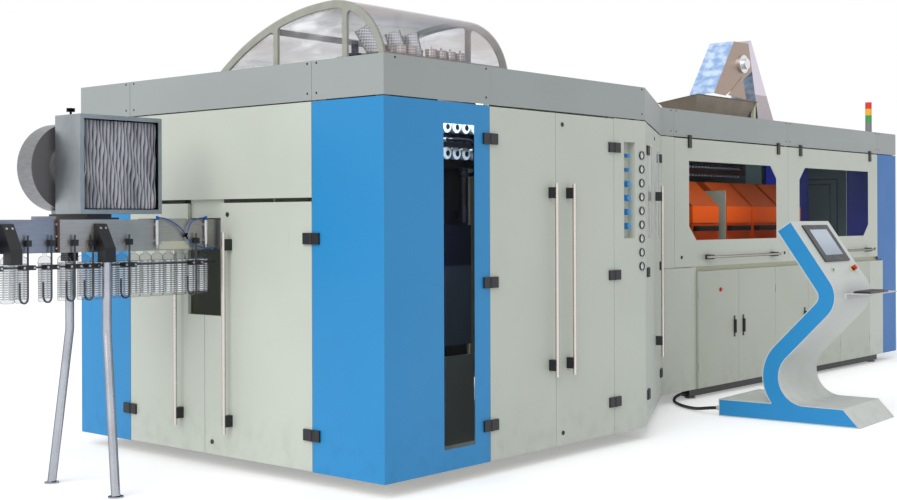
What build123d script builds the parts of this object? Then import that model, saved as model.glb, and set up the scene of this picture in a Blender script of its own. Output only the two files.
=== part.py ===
from build123d import *
import os
from math import asin, atan2, cos, degrees, hypot, radians, sin, tan

os.makedirs("parts", exist_ok=True)

# Overall sizes. X runs along the front, Y into the machine, Z up from the floor.
# The model's zero is under the cabin's front left levelling foot, and the values
# below are counted from the outer corner of the cabin at the front left.
foot_inset = 440
floor_gap = 90
panel_top = 2342
shadow_gap = 8
fascia_top = 2590
cabin_width = 2785
cabin_depth = 3040
angled_run = 1559
oven_front = 827
first_panel = 219
left_flap = 2176
right_flap = 2191
end_panel = 516
oven_left = cabin_width + angled_run
flap_left = oven_left + first_panel
flap_split = flap_left + left_flap
flap_right = flap_split + right_flap
machine_length = flap_right + end_panel

# Sheet, tube and gaps
sheet = 3
leaf_depth = 25
seam = 4
seat = 0.3
tube = 60
set_back = 28
rail_width = 80
rail_bottom = 20
deck_height = 150

# Walls as seen from outside: start of the wall and its heading in degrees
angled_heading = degrees(atan2(oven_front, oven_left - cabin_width))
angled_length = hypot(oven_front, oven_left - cabin_width)
FRONT = (0, 0, 0)
ANGLED = (cabin_width, 0, angled_heading)
OVEN = (0, oven_front, 0)
END = (machine_length, oven_front, 90)
REAR = (machine_length, cabin_depth, 180)
LEFT = (0, cabin_depth, 270)
cabinet_proud = 20
CABINET = (0, oven_front - cabinet_proud, 0)

# Cabin, left side (distances from the front corner along Y)
blue_side = 605
end_door_split = 1633
blue_rear = 595
side_door_top = 1735
notch_near = 1465
notch_far = 1805
notch_bottom = 1000

# Cabin, front
blue_front = 970
gauge_panel_width = 411
gauge_panel_left = cabin_width - gauge_panel_width
front_door_split = (blue_front + gauge_panel_left) / 2
window_left = 525
window_right = 819
window_bottom = 220
window_top = 2210
recess_left = gauge_panel_left + 130
recess_right = recess_left + 148
recess_bottom = 1483
recess_top = 2180
recess_depth = 60
gauge_x = cabin_width - 52
gauge_top = 2088
gauge_pitch = 101.5
gauge_count = 9
gauge_bore = 53
gauge_rim = 62
gauge_depth = 24
knob_x = recess_left + 86
knob_heights = (2083, 1980, 1878, 1776, 1674, 1572)
knob_diameters = (30, 30, 48, 48, 48, 48)

# Angled section (distances along the wall)
angled_left = 202
angled_right = angled_length - 165
angled_split = angled_right - 670
angled_windows = (
    (angled_left + 48, angled_split - 230),
    (angled_split + 230, angled_right - 110),
)
angled_window_bottom = 1480
angled_window_top = 2180

# Oven
flap_bottom = 1190
flap_window_inset = 250
flap_window_bottom = 1430
flap_window_top = 2140
window_cut = 125
cabinet_top = 1150
cabinet_left = oven_left + 589
cabinet_end = machine_length - 785
cabinet_shares = (0, 0.2004, 0.3991, 0.5923, 0.7967, 1)
cabinet_seams = [cabinet_left + share * (cabinet_end - cabinet_left) for share in cabinet_shares]
cabinet_right = machine_length - 421
cabinet_hinge_sides = (0, 1, 0, 1, 1)
cabinet_pin = 2.4
lamp_offset = 403
lamp_height = 970
cabinet_handle_offset = 85
cabinet_handle_height = 617

# Door fittings
hinge_reach = 70
hinge_height = 70
hinge_thick = 14
hinge_axis = 12
knuckle = 18
knuckle_middle = 36
running = 0.5
bar_diameter = 25
bar_stand_off = 55
bracket_width = 42
bracket_height = 73
lock_diameter = 30
pane = 5
pane_lap = 15

# Air conveyor
beam_left = -1700
beam_joint = -1190
beam_front = 1500
beam_width = 240
beam_bottom = 1436
beam_top = 1630
beam_wall = 3
beam_inside = 900
slot_width = 34
station_pitch = 620
station_x = -900
leg_diameter = 54
leg_offset = 75
leg_bend_height = 960
leg_splay = 140
bottle_diameter = 82
bottle_low = 1145
bottle_shoulder = 1385
bottle_line = beam_front + beam_width / 2
neck_diameter = 28
bottle_places = (-1440, -1350, -1195, -1065, -930)
bottle_run_start = -835
bottle_run_pitch = 89
bottle_run_count = 10
rail_rod = 12
rail_height = 1355
hook_low = 1150
hook_tip = 1265
hook_reach = 87
hook_radius = 38
bracket_low = 1375
socket_top = 1440
socket_half = 38
cylinder_y = 1484
cylinder_diameter = 28
cylinder_places = (-489, -106)

# Blower on the conveyor
filter_left = -1030
filter_width = 590
filter_bottom = 1664
filter_height = 596
filter_depth = 265
filter_rim = 26
pleat_count = 15
pleat_depth = 60
drum_diameter = 540
drum_depth = 160
drum_x = -900
drum_z = 1950
drum_front = 1800
adaptor_top = 1663.7

# Canopy
canopy_left = 12
canopy_length = 1150
canopy_front = 8
canopy_back = 1466
canopy_peak = 430
canopy_top = 2937
canopy_front_radius = 430
canopy_rise_offset = 1317
canopy_corner = 24
canopy_band = 44
canopy_skin = 4
upright_near = 332
upright_far = 943
upright_width = 38

# Hopper and elevator on the oven's roof
hopper_left = flap_left + 1514
hopper_length = 1225
hopper_front = 1480
hopper_width = 450
hopper_rim = 2866
hopper_tilt = 8
hopper_fall = 215
hopper_slope = 110
hopper_flange = 22
elevator_front = 1500
elevator_width = 285
elevator_rise = 930
elevator_top = fascia_top + elevator_rise
elevator_foot_left = hopper_left + hopper_length + 122
elevator_foot_right = elevator_foot_left + 388
elevator_head_right = elevator_foot_left - 184
elevator_head_left = elevator_head_right - 369
chute_foot_left = elevator_head_left - 421
chute_foot_right = chute_foot_left + 240
chute_bottom = hopper_rim + 29
chute_bend = elevator_top - 330
bearing_x = elevator_head_right - 190
bearing_z = elevator_top - 269
bearing_diameter = 110
stack_x = machine_length - 466
stack_y = 950
stack_diameter = 72
stack_base = 130
stack_ring = 74

# Console
console_x = 4160
console_y = 170
console_turn = 3.5
console_width = 785
console_depth = 1183
plinth_depth = 1051
ribbon = 141
lower_radius = 214
nose_radius = 215
lower_corner = (230.5, 141)
nose_corner = (1051.7, 983.1)
head_corner = (629, 1600)
head_back = (511, 1522)
inner_corner = (870, 998.8)
nose_centre = (774.7, 1007)
plinth_back = 437
edge_band = 7
side_recess = 2
bezel = (146, 668, 46, 394)
screen = (228, 586, 92, 338)
bezel_thick = 12
button_place = (193, 471)
button_base = 4
button_stem = 12
estop_place = (620, 475)
estop_plate = 2
estop_collar = 13
estop_stem = 24
tray_left = 180
tray_right = 800
tray_near = 960
tray_far = 1205
tray_height = 1022

# Cords, as points counted from the same corner
cable_diameter = 28
cable_route = (
    (4845, 910, 52),
    (4722, 908, 46),
    (4560, 846, 20),
    (4432, 712, 15),
    (4330, 560, 15),
    (4247, 420, 24),
    (4212, 306, 46),
    (4214, 214, 56),
)
hose_diameter = 8
hose_left_route = (
    (-472.5, 1484, 1640),
    (-446, 1484, 1639),
    (-404, 1482, 1629),
    (-352, 1480, 1602),
    (-310, 1480, 1576),
    (-280, 1480, 1541),
)
hose_right_route = (
    (-122.5, 1484, 1640),
    (-146, 1484, 1638),
    (-184, 1482, 1633),
    (-223, 1480, 1616),
    (-247, 1480, 1583),
    (-257, 1480, 1547),
)
hose_supply_route = (
    (-258, 1480, 1508),
    (-243, 1477, 1488),
    (-215, 1469, 1468),
    (-165, 1464, 1452),
    (-110, 1470, 1441),
    (-60, 1480, 1440),
)

corner = Vector(foot_inset, foot_inset, 0)
ring_low = floor_gap
ring_high = panel_top - tube


# Inside
deck_top = deck_height + seat + sheet
clamp_front = 350
bed_front = 1150
bed_back = 2350
bed_top = 1290
bed_left = oven_left + 330
bed_right = flap_right - 80
module_starts = (947, 1602, 2157, 2717)
module_width = 500
button_travel = 4
estop_travel = 6
fitting = (-268, 1480, 1524)
front_hinges = (2133, 1224, 320)
angled_hinges = (2137, 1223, 308)
end_hinges = (1510, 315)


# Planes and basic shapes


def heading_of(wall):
    """Unit vectors along a wall and into the machine."""
    turn = radians(wall[2])
    return Vector(cos(turn), sin(turn), 0), Vector(-sin(turn), cos(turn), 0)


def on_wall(wall, along, inward, height):
    """A point given by its distance along a wall, its depth and its height."""
    x_dir, y_dir = heading_of(wall)
    start = Vector(wall[0], wall[1], 0) - corner
    return start + x_dir * along + y_dir * inward + Vector(0, 0, height)


def level(wall, height):
    """Horizontal plane with X along the wall and Y into the machine."""
    x_dir, _ = heading_of(wall)
    return Plane(origin=on_wall(wall, 0, 0, height), x_dir=x_dir, z_dir=(0, 0, 1))


def elevation(wall, inward=0):
    """Upright plane seen from outside, X along the wall and Y up."""
    x_dir, y_dir = heading_of(wall)
    return Plane(origin=on_wall(wall, 0, inward, 0), x_dir=x_dir, z_dir=-y_dir)


def section(wall, along):
    """Upright plane across a wall, X into the machine and Y up."""
    x_dir, y_dir = heading_of(wall)
    return Plane(origin=on_wall(wall, along, 0, 0), x_dir=y_dir, z_dir=x_dir)


waiting = []


def join():
    """Fuse all the added shapes that are waiting, in one go."""
    if waiting:
        add(list(waiting))
        waiting.clear()


def solid(sketch, amount, mode=Mode.ADD, taper=0):
    """Extrude a sketch; what is added waits until the next cut or the end of the sub-part."""
    shape = extrude(sketch, amount=amount, taper=taper, mode=Mode.PRIVATE)
    if mode == Mode.ADD:
        waiting.append(shape)
    else:
        join()
        add(shape, mode=mode)


def block(wall, x0, x1, y0, y1, z0, z1, mode=Mode.ADD):
    """A block between two distances along a wall, two depths and two heights."""
    with BuildSketch(level(wall, z0)) as outline:
        with Locations(((x0 + x1) / 2, (y0 + y1) / 2)):
            Rectangle(x1 - x0, y1 - y0)
    solid(outline.sketch, z1 - z0, mode)


def prism(plane, corners, amount, mode=Mode.ADD):
    """A straight-sided body over a polygon."""
    with BuildSketch(plane) as outline:
        with BuildLine():
            Polyline(*corners, close=True)
        make_face()
    solid(outline.sketch, amount, mode)


def rod(start, end, diameter, mode=Mode.ADD):
    """A round bar between two points."""
    span = end - start
    with BuildSketch(Plane(origin=start, z_dir=span)) as outline:
        Circle(diameter / 2)
    solid(outline.sketch, span.length, mode)


def place(x, y, z):
    """A point counted from the cabin's front left corner."""
    return Vector(x, y, z) - corner


def tube_path(points, radii, diameter):
    """A round tube along straight runs joined by tangent arcs."""
    with BuildLine() as path:
        FilletPolyline(*points, radius=radii)
    with BuildSketch(Plane(origin=path.line @ 0, z_dir=path.line % 0)) as outline:
        Circle(diameter / 2)
    waiting.append(sweep(outline.sketch, path=path.line, mode=Mode.PRIVATE))


def gland(tip, before, length):
    """A cable gland that carries on from a cord's end, in line with its last run."""
    end = place(*tip)
    onward = (end - place(*before)).normalized()
    rod(end + onward * seat, end + onward * length, cable_diameter + 10)


def save(built, name):
    """Join what is waiting, label the sub-part and write its STEP file."""
    join()
    built.part.label = name
    export_step(built.part, f"parts/{name}.step")


# Door parts


def pan(wall, left, right, bottom, top):
    """A sheet folded back on all four edges, open towards the machine."""
    block(wall, left, right, 0, leaf_depth, bottom, top)
    block(wall, left + sheet, right - sheet, sheet, leaf_depth, bottom + sheet, top - sheet, Mode.SUBTRACT)


def hinge_leaf(wall, axis, height, side, moving):
    """Half of a block hinge, standing out from the wall at one side of its axis."""
    low = height - hinge_height / 2
    high = height + hinge_height / 2
    near = knuckle / 2 + 1
    plate = sorted((axis + side * near, axis + side * hinge_reach))
    block(wall, *plate, -hinge_thick - seat, -seat, low, high)
    if moving:
        spans = ((height - knuckle_middle / 2, height + knuckle_middle / 2),)
    else:
        gap = knuckle_middle / 2 + running
        spans = ((low, height - gap), (height + gap, high))
    for z0, z1 in spans:
        rod(on_wall(wall, axis, -hinge_axis, z0), on_wall(wall, axis, -hinge_axis, z1), knuckle)
        web = sorted((axis, axis + side * (near + 1)))
        block(wall, *web, -hinge_thick - seat, -hinge_axis + 2, z0, z1)


def flap_hinge(wall, along, moving):
    """Half of the block hinge at the top edge of a flap; its axis runs along the wall."""
    width = 50
    axis = panel_top + shadow_gap / 2
    near = knuckle / 2 + 1
    gap = width / 4
    if moving:
        low, high = axis - 90, axis - near
        web = (axis - near - 1, axis)
        spans = ((along - gap + running, along + gap - running),)
    else:
        low, high = axis + near, axis + near + 14
        web = (axis, axis + near + 1)
        spans = ((along - width / 2, along - gap), (along + gap, along + width / 2))
    block(wall, along - width / 2, along + width / 2, -hinge_thick - seat, -seat, low, high)
    for x0, x1 in spans:
        rod(on_wall(wall, x0, -hinge_axis, axis), on_wall(wall, x1, -hinge_axis, axis), knuckle)
        block(wall, x0, x1, -hinge_thick - seat, -hinge_axis + 2, *web)


def lock(wall, along, height):
    """A round quarter-turn lock with its key slot."""
    with BuildSketch(elevation(wall, -seat)) as outline:
        with Locations((along, height)):
            Circle(lock_diameter / 2)
            SlotOverall(16, 4, rotation=45, mode=Mode.SUBTRACT)
    solid(outline.sketch, 4)


def leaf(name, wall, left, right, bottom, top, axis, side, hinges, locks, window=None, notch=None):
    """A hinged door: folded sheet, moving hinge halves and locks."""
    with BuildPart() as door:
        pan(wall, left, right, bottom, top)
        if notch:
            x0, x1 = notch
            block(wall, x0, x1, -1, leaf_depth + 1, notch_bottom, top + 1, Mode.SUBTRACT)
            edge = x1 if x0 <= left else x0 - sheet
            block(wall, edge, edge + sheet, 0, leaf_depth, notch_bottom - sheet, top)
            block(wall, max(x0, left), min(x1, right), 0, leaf_depth, notch_bottom - sheet, notch_bottom)
        if window:
            x0, x1 = window
            block(wall, x0, x1, -1, leaf_depth, angled_window_bottom, angled_window_top, Mode.SUBTRACT)
        for height in hinges:
            hinge_leaf(wall, axis, height, side, True)
        for along, height in locks:
            lock(wall, along, height)
        save(door, name)


def upright_handle(name, wall, along, bottom, top, brackets):
    """A round steel bar held upright in the saddles of two plastic brackets."""
    ends = on_wall(wall, along, -bar_stand_off, bottom), on_wall(wall, along, -bar_stand_off, top)
    half = bracket_width / 2
    with BuildPart() as handle:
        for height in brackets:
            low, high = height - bracket_height / 2, height + bracket_height / 2
            block(wall, along - half, along + half, -bar_stand_off, -seat, low, high)
        rod(*ends, bar_diameter + 2 * seat, Mode.SUBTRACT)
        rod(*ends, bar_diameter)
        save(handle, name)


def level_handle(name, wall, left, right, height, brackets):
    """A round steel bar held level in the saddles of two plastic brackets."""
    ends = on_wall(wall, left, -bar_stand_off, height), on_wall(wall, right, -bar_stand_off, height)
    half = bracket_width / 2
    with BuildPart() as handle:
        for along in brackets:
            near, far = along - bracket_height / 2, along + bracket_height / 2
            block(wall, near, far, -bar_stand_off, -seat, height - half, height + half)
        rod(*ends, bar_diameter + 2 * seat, Mode.SUBTRACT)
        rod(*ends, bar_diameter)
        save(handle, name)


def window_pane(name, wall, outline):
    """A clear pane behind a window, lapping its edges."""
    x0, x1, z0, z1 = outline
    with BuildPart() as glass:
        near, far, depth = x0 - pane_lap, x1 + pane_lap, sheet + seat
        block(wall, near, far, depth, depth + pane, z0 - pane_lap, z1 + pane_lap)
        save(glass, name)


# Frame: square tubes that butt against each other, one weld gap apart

inner = set_back + tube
rear_line = cabin_depth - set_back - tube
cabin_right_line = cabin_width - set_back - tube
front_posts = (set_back, blue_front - tube / 2, gauge_panel_left - tube / 2, cabin_right_line)
side_posts = (set_back, blue_side - tube / 2, cabin_depth - blue_rear - tube / 2, rear_line)
oven_posts = (oven_left + 136, flap_split - tube / 2, flap_right - tube / 2, machine_length - set_back - tube)
oven_line = oven_front + set_back
angled_posts = (angled_left - tube / 2, angled_right - tube / 2)
left_flap_hinges = (flap_left + 255, flap_split - 218)
right_flap_hinges = (flap_split + 268, flap_right - 217)
rail_lines = (foot_inset - rail_width / 2, cabin_depth - foot_inset - rail_width / 2)
rail_start = foot_inset - rail_width / 2
rail_end = cabin_width - rail_start
oven_rail_left = oven_left + 536
oven_rail_right = machine_length - 446
oven_rail_front = oven_front + 43
oven_rail_rear = cabin_depth - 160
hopper_leg = 36
roof_top = fascia_top - sheet
fascia_middle = (panel_top + fascia_top) / 2
oven_joists = (oven_rail_left + 520, flap_split + 211, oven_rail_right - 700)
rear_count = 7
rear_pitch = (machine_length - blue_rear) / rear_count
rear_seams = [number * rear_pitch for number in range(rear_count + 1)]
# skins that are carried by strips: (wall, near, far)
strips = [
    (FRONT, 100, blue_front - 40),
    (FRONT, gauge_panel_left + 40, cabin_width - 40),
    (LEFT, cabin_depth - blue_side + 40, cabin_depth - 100),
    (LEFT, 100, blue_rear - 40),
    (ANGLED, 60, angled_left - 30),
    (ANGLED, angled_right + 30, angled_length - 60),
    (OVEN, oven_left + 36, flap_left - 13),
    (OVEN, flap_right + 20, machine_length - 100),
    (END, 60, blue_rear - 20),
    (END, blue_rear + 20, 1440),
    (END, 1470, cabin_depth - oven_front - 40),
    (REAR, machine_length - blue_rear + 20, machine_length - 60),
]
strips += [(REAR, near + 40, far - 20) for near, far in zip(rear_seams, rear_seams[1:])]


def post(wall, x, y):
    """An upright tube between the bottom and top rings."""
    block(wall, x, x + tube, y, y + tube, ring_low, roof_top - sheet - seat)


def beams(wall, posts, y, low):
    """Level tubes between the posts of a wall."""
    for near, far in zip(posts, posts[1:]):
        block(wall, near + tube + seat, far - seat, y, y + tube, low, low + tube)


with BuildPart() as machine_frame:
    for x in front_posts:
        post(FRONT, x, set_back)
        post(FRONT, x, rear_line)
    for y in side_posts[1:-1]:
        post(FRONT, set_back, y)
    for x in oven_posts:
        post(FRONT, x, oven_line)
        post(FRONT, x, rear_line)
    for x in angled_posts:
        post(ANGLED, x, set_back)
    for low in (ring_low, ring_high):
        beams(FRONT, front_posts, set_back, low)
        beams(FRONT, (*front_posts, *oven_posts), rear_line, low)
        beams(ANGLED, angled_posts, set_back, low)
        beams(FRONT, oven_posts, oven_line, low)
        for near, far in zip(side_posts, side_posts[1:]):
            block(FRONT, set_back, inner, near + tube + seat, far - seat, low, low + tube)
        block(FRONT, cabin_right_line, cabin_right_line + tube, inner + seat, rear_line - seat, low, low + tube)
        last = oven_posts[-1]
        block(FRONT, last, last + tube, oven_line + tube + seat, rear_line - seat, low, low + tube)
    beams(FRONT, oven_posts, oven_line, flap_bottom - tube)
    for y in rail_lines:
        block(FRONT, inner + seat, cabin_right_line - seat, y, y + rail_width, ring_low, ring_low + tube)
        block(FRONT, rail_start, rail_end, y, y + rail_width, rail_bottom, ring_low - seat)
    for y in (oven_rail_front, oven_rail_rear):
        block(FRONT, oven_rail_left, oven_rail_right, y, y + rail_width, rail_bottom, ring_low - seat)
    for x in oven_joists:
        block(FRONT, x, x + tube, oven_line + tube + seat, rear_line - seat, ring_low, ring_low + tube)
    gland(cable_route[0], cable_route[1], oven_rail_left - cable_route[0][0] + 1)
    for near in cabinet_seams:
        for low, high in ((floor_gap + 14, ring_low + 50), (cabinet_top - 18, cabinet_top - seam)):
            block(CABINET, near - 14, near + 14, leaf_depth + seat, set_back + cabinet_proud - seat, low, high)
    for low in (ring_high + 15, fascia_middle):
        block(LEFT, blue_rear + 20, cabin_depth - blue_side - 20, sheet + seat, set_back - seat, low, low + 30)
    block(FRONT, 700, 760, beam_front, beam_front + tube, deck_top + seat, beam_bottom - seat)
    # strips that carry the skins in front of the tubes
    for wall, near, far in strips:
        for low in (ring_low + 15, ring_high + 15, fascia_middle):
            block(wall, near, far, sheet + seat, set_back - seat, low, low + 30)
    cabinet_back = set_back + cabinet_proud - seat
    for low in (cabinet_top - 30, ring_low + 15):
        block(CABINET, cabinet_end + 30, cabinet_right - 20, sheet + seat, cabinet_back, low, low + 20)
    low = cabinet_top - 30
    block(OVEN, cabinet_right + 30, machine_length - 60, sheet + seat, set_back - seat, low, low + 25)
    # stand of the hopper: two posts with a tilted bar, two blocks under the floor of the tray
    bar_x = hopper_left + hopper_length + 2
    bar_rows = (hopper_front + 20, hopper_front + hopper_width - 20)
    for y in bar_rows:
        block(FRONT, bar_x, bar_x + hopper_leg, y, y + hopper_leg, roof_top + seat, hopper_rim)
    tilt = Plane(
        origin=place(bar_x, hopper_front, hopper_rim), x_dir=(1, 0, 0),
        z_dir=(0, sin(radians(hopper_tilt)), cos(radians(hopper_tilt))),
    )
    under = tilt.offset(-sheet - seat)
    for plane, amount, mode in ((under, 200, Mode.SUBTRACT), (under, -hopper_leg, Mode.SUBTRACT)):
        with BuildSketch(plane) as bar:
            with Locations((hopper_leg / 2, hopper_width / 2)):
                Rectangle(hopper_leg + 10, hopper_width + 200)
        solid(bar.sketch, amount, mode)
    with BuildSketch(under) as bar:
        with Locations((hopper_leg / 2, hopper_width / 2 + 10)):
            Rectangle(hopper_leg, hopper_width + 40)
    solid(bar.sketch, -hopper_leg + seat)
    near, far, high = hopper_front + 160, hopper_front + 260, hopper_rim - hopper_fall + 20
    for x in (hopper_left + 260, hopper_left + 900):
        block(FRONT, x, x + tube, near, far, roof_top + seat, high)
    with BuildSketch(tilt.offset(-hopper_fall - seat)) as tray_floor:
        with Locations((-hopper_length / 2, hopper_width / 2)):
            Rectangle(hopper_length - 10, hopper_width)
    solid(tray_floor.sketch, 100, Mode.SUBTRACT)
    # fixed halves of the door hinges, bolted to the posts through the panels
    for along, side, heights in (
        (blue_front, -1, front_hinges),
        (gauge_panel_left, 1, front_hinges),
    ):
        for height in heights:
            hinge_leaf(FRONT, along, height, side, False)
    for along, side, heights in (
        (cabin_depth - blue_side, 1, end_hinges),
        (blue_rear, -1, end_hinges),
    ):
        for height in heights:
            hinge_leaf(LEFT, along, height, side, False)
    for height in angled_hinges:
        hinge_leaf(ANGLED, angled_left, height, -1, False)
        hinge_leaf(ANGLED, angled_right, height, 1, False)
    for along in (*left_flap_hinges, *right_flap_hinges):
        flap_hinge(OVEN, along, False)
    save(machine_frame, "machine_frame")

foot_spots = [(x, y) for x in (foot_inset, cabin_width - foot_inset) for y in rail_lines]
oven_feet = (oven_rail_left + 80, flap_split + 201, oven_rail_right - 80)
foot_spots += [(x, y) for x in oven_feet for y in (oven_rail_front, oven_rail_rear)]
with BuildPart() as levelling_feet:
    for x, rail_line in foot_spots:
        y = rail_line + rail_width / 2
        with BuildSketch(level(FRONT, 0)) as pad:
            with Locations((x, y)):
                Circle(50)
        solid(pad.sketch, 12, taper=12)
        rod(place(x, y, 11), place(x, y, rail_bottom), 24)
    save(levelling_feet, "levelling_feet")

# Skins

with BuildPart() as corner_panels:
    block(FRONT, 0, blue_front - seam / 2, 0, sheet, floor_gap, panel_top)
    block(FRONT, 0, sheet, 0, blue_side - seam / 2, floor_gap, panel_top)
    block(FRONT, blue_front - seam / 2 - sheet, blue_front - seam / 2, 0, leaf_depth, floor_gap, panel_top)
    block(FRONT, 0, leaf_depth, blue_side - seam / 2 - sheet, blue_side - seam / 2, floor_gap, panel_top)
    block(FRONT, window_left, window_right, -1, sheet + 1, window_bottom, window_top, Mode.SUBTRACT)
    block(LEFT, 0, blue_rear - seam / 2, 0, sheet, floor_gap, panel_top)
    block(REAR, machine_length - blue_rear, machine_length, 0, sheet, floor_gap, panel_top)
    upper = flap_right + seam
    block(OVEN, upper, machine_length, 0, sheet, cabinet_top + seam, panel_top)
    block(OVEN, cabinet_right + seam, machine_length, 0, sheet, floor_gap, cabinet_top + seam)
    block(END, 0, blue_rear, 0, sheet, floor_gap, panel_top)
    save(corner_panels, "corner_panels")

window_pane("corner_window", FRONT, (window_left, window_right, window_bottom, window_top))

# Flat cream panels: each (wall, near, far, low, high)
panel_gap = seam / 2
side_upper_bottom = side_door_top + 25
fixed_sheets = (
    (LEFT, blue_rear + panel_gap, cabin_depth - blue_side - panel_gap, side_upper_bottom, panel_top),
    (ANGLED, sheet, angled_left - panel_gap, floor_gap, panel_top),
    (ANGLED, angled_right + panel_gap, angled_length - sheet, floor_gap, panel_top),
    (OVEN, oven_left + panel_gap, flap_left - panel_gap, flap_bottom, panel_top),
    (OVEN, oven_left + panel_gap, cabinet_seams[0] - panel_gap, floor_gap, flap_bottom - seam),
    (CABINET, cabinet_seams[-1] + panel_gap, cabinet_right, floor_gap + seam, cabinet_top - seam),
    (END, blue_rear + panel_gap, 1450, floor_gap, panel_top),
    (END, 1450 + seam, cabin_depth - oven_front - sheet - seat, floor_gap, panel_top),
)
with BuildPart() as fixed_panels:
    for wall, near, far, low, high in fixed_sheets:
        block(wall, near, far, 0, sheet, low, high)
    for near, far in zip(rear_seams, rear_seams[1:]):
        block(REAR, near, far - seam, 0, sheet, floor_gap, panel_top)
    recess_step = leaf_depth + sheet
    near, far, high = cabin_depth - notch_far, cabin_depth - notch_near, side_upper_bottom + sheet
    block(LEFT, near, far, recess_step, recess_step + sheet, beam_top + 8, high)
    block(LEFT, near, far, 1, recess_step + 1, side_upper_bottom, high)
    # roof and floor
    margin = sheet + seat
    with BuildSketch(level(FRONT, roof_top - sheet)) as roof:
        with BuildLine():
            Polyline(
                (margin, margin), (cabin_width - seam, margin), (cabin_width - seam, cabin_depth - margin),
                (margin, cabin_depth - margin), close=True,
            )
        make_face()
        with BuildLine():
            Polyline(
                (cabin_width, margin + 2), (oven_left, oven_front + margin),
                (machine_length - margin, oven_front + margin), (machine_length - margin, cabin_depth - margin),
                (cabin_width, cabin_depth - margin), close=True,
            )
        make_face()
    solid(roof.sketch, sheet)
    floor_low = ring_low + tube + seat
    for near, far, front in (
        (inner, cabin_right_line, inner),
        (oven_posts[0] + tube, oven_posts[-1], oven_line + tube),
    ):
        block(FRONT, near + seat, far - seat, front + seat, rear_line - seat, floor_low, floor_low + sheet)
    save(fixed_panels, "fixed_panels")

with BuildPart() as gauge_panel:
    gauge_left = gauge_panel_left + seam / 2
    block(FRONT, gauge_left, cabin_width, 0, sheet, floor_gap, panel_top)
    low, high = recess_bottom - sheet, recess_top + sheet
    block(FRONT, recess_left - sheet, recess_right + sheet, 0, recess_depth + sheet, low, high)
    block(FRONT, recess_left, recess_right, -1, recess_depth, recess_bottom, recess_top, Mode.SUBTRACT)
    with BuildSketch(elevation(FRONT, -1)) as bores:
        for number in range(gauge_count):
            with Locations((gauge_x, gauge_top - number * gauge_pitch)):
                Circle(gauge_bore / 2)
    solid(bores.sketch, -sheet - 2, Mode.SUBTRACT)
    save(gauge_panel, "gauge_panel")

with BuildPart() as pressure_gauges:
    for number in range(gauge_count):
        height = gauge_top - number * gauge_pitch
        with BuildSketch(section(FRONT, gauge_x)) as profile:
            with BuildLine():
                Polyline(
                    (-4, height), (-4, height + gauge_rim / 2 - 6), (-12, height + gauge_rim / 2 - 4),
                    (-10, height + gauge_rim / 2), (-seat, height + gauge_rim / 2),
                    (-seat, height + gauge_bore / 2 - 1), (gauge_depth, height + gauge_bore / 2 - 1),
                    (gauge_depth, height), close=True,
                )
            make_face()
        spindle = Axis(on_wall(FRONT, gauge_x, 0, height), (0, 1, 0))
        waiting.append(revolve(profile.sketch, axis=spindle, mode=Mode.PRIVATE))
    save(pressure_gauges, "pressure_gauges")

with BuildPart() as regulator_knobs:
    for height, diameter in zip(knob_heights, knob_diameters):
        back = recess_depth - seat
        rod(on_wall(FRONT, knob_x, back, height), on_wall(FRONT, knob_x, back - 14, height), diameter * 0.7)
        with BuildSketch(elevation(FRONT, back - 14)) as grip:
            with Locations((knob_x, height)):
                Circle(diameter / 2)
            with Locations((knob_x, height)):
                with PolarLocations(diameter / 2 + 1, 12):
                    Circle(diameter / 16, mode=Mode.SUBTRACT)
        solid(grip.sketch, 34, taper=3)
    save(regulator_knobs, "regulator_knobs")

# Grey fascia above the panels: folded at the corners
fascia_low = panel_top + shadow_gap
corner_seam = 602
fascia_seam = flap_left - 10
with BuildPart() as fascia_panels:
    block(FRONT, 0, blue_front + 6, 0, sheet, fascia_low, fascia_top)
    block(FRONT, 0, sheet, 0, corner_seam, fascia_low, fascia_top)
    block(LEFT, blue_rear + panel_gap, cabin_depth - corner_seam - sheet, 0, sheet, fascia_low, fascia_top)
    block(LEFT, 0, blue_rear - panel_gap, 0, sheet, fascia_low, fascia_top)
    block(REAR, machine_length - blue_rear, machine_length, 0, sheet, fascia_low, fascia_top)
    with BuildSketch(level(FRONT, fascia_low)) as folded:
        with BuildLine() as bend:
            Polyline(
                (blue_front + 9, sheet / 2), (cabin_width, sheet / 2),
                (oven_left, oven_front + sheet / 2), (fascia_seam, oven_front + sheet / 2),
            )
            offset(amount=sheet / 2)
        make_face()
    solid(folded.sketch, fascia_top - fascia_low)
    for near, far in (
        (fascia_seam + sheet, flap_split - panel_gap),
        (flap_split + panel_gap, flap_right - panel_gap),
    ):
        block(OVEN, near, far, 0, sheet, fascia_low, fascia_top)
    block(OVEN, flap_right + panel_gap, machine_length, 0, sheet, fascia_low, fascia_top)
    block(END, 0, blue_rear, 0, sheet, fascia_low, fascia_top)
    block(END, blue_rear + panel_gap, cabin_depth - oven_front - sheet - seat, 0, sheet, fascia_low, fascia_top)
    for near, far in zip(rear_seams[::2], [*rear_seams[2::2], rear_seams[-1]]):
        block(REAR, near, far - seam, 0, sheet, fascia_low, fascia_top)
    save(fascia_panels, "fascia_panels")

# Doors: each leaf, its handle and its pane

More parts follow.
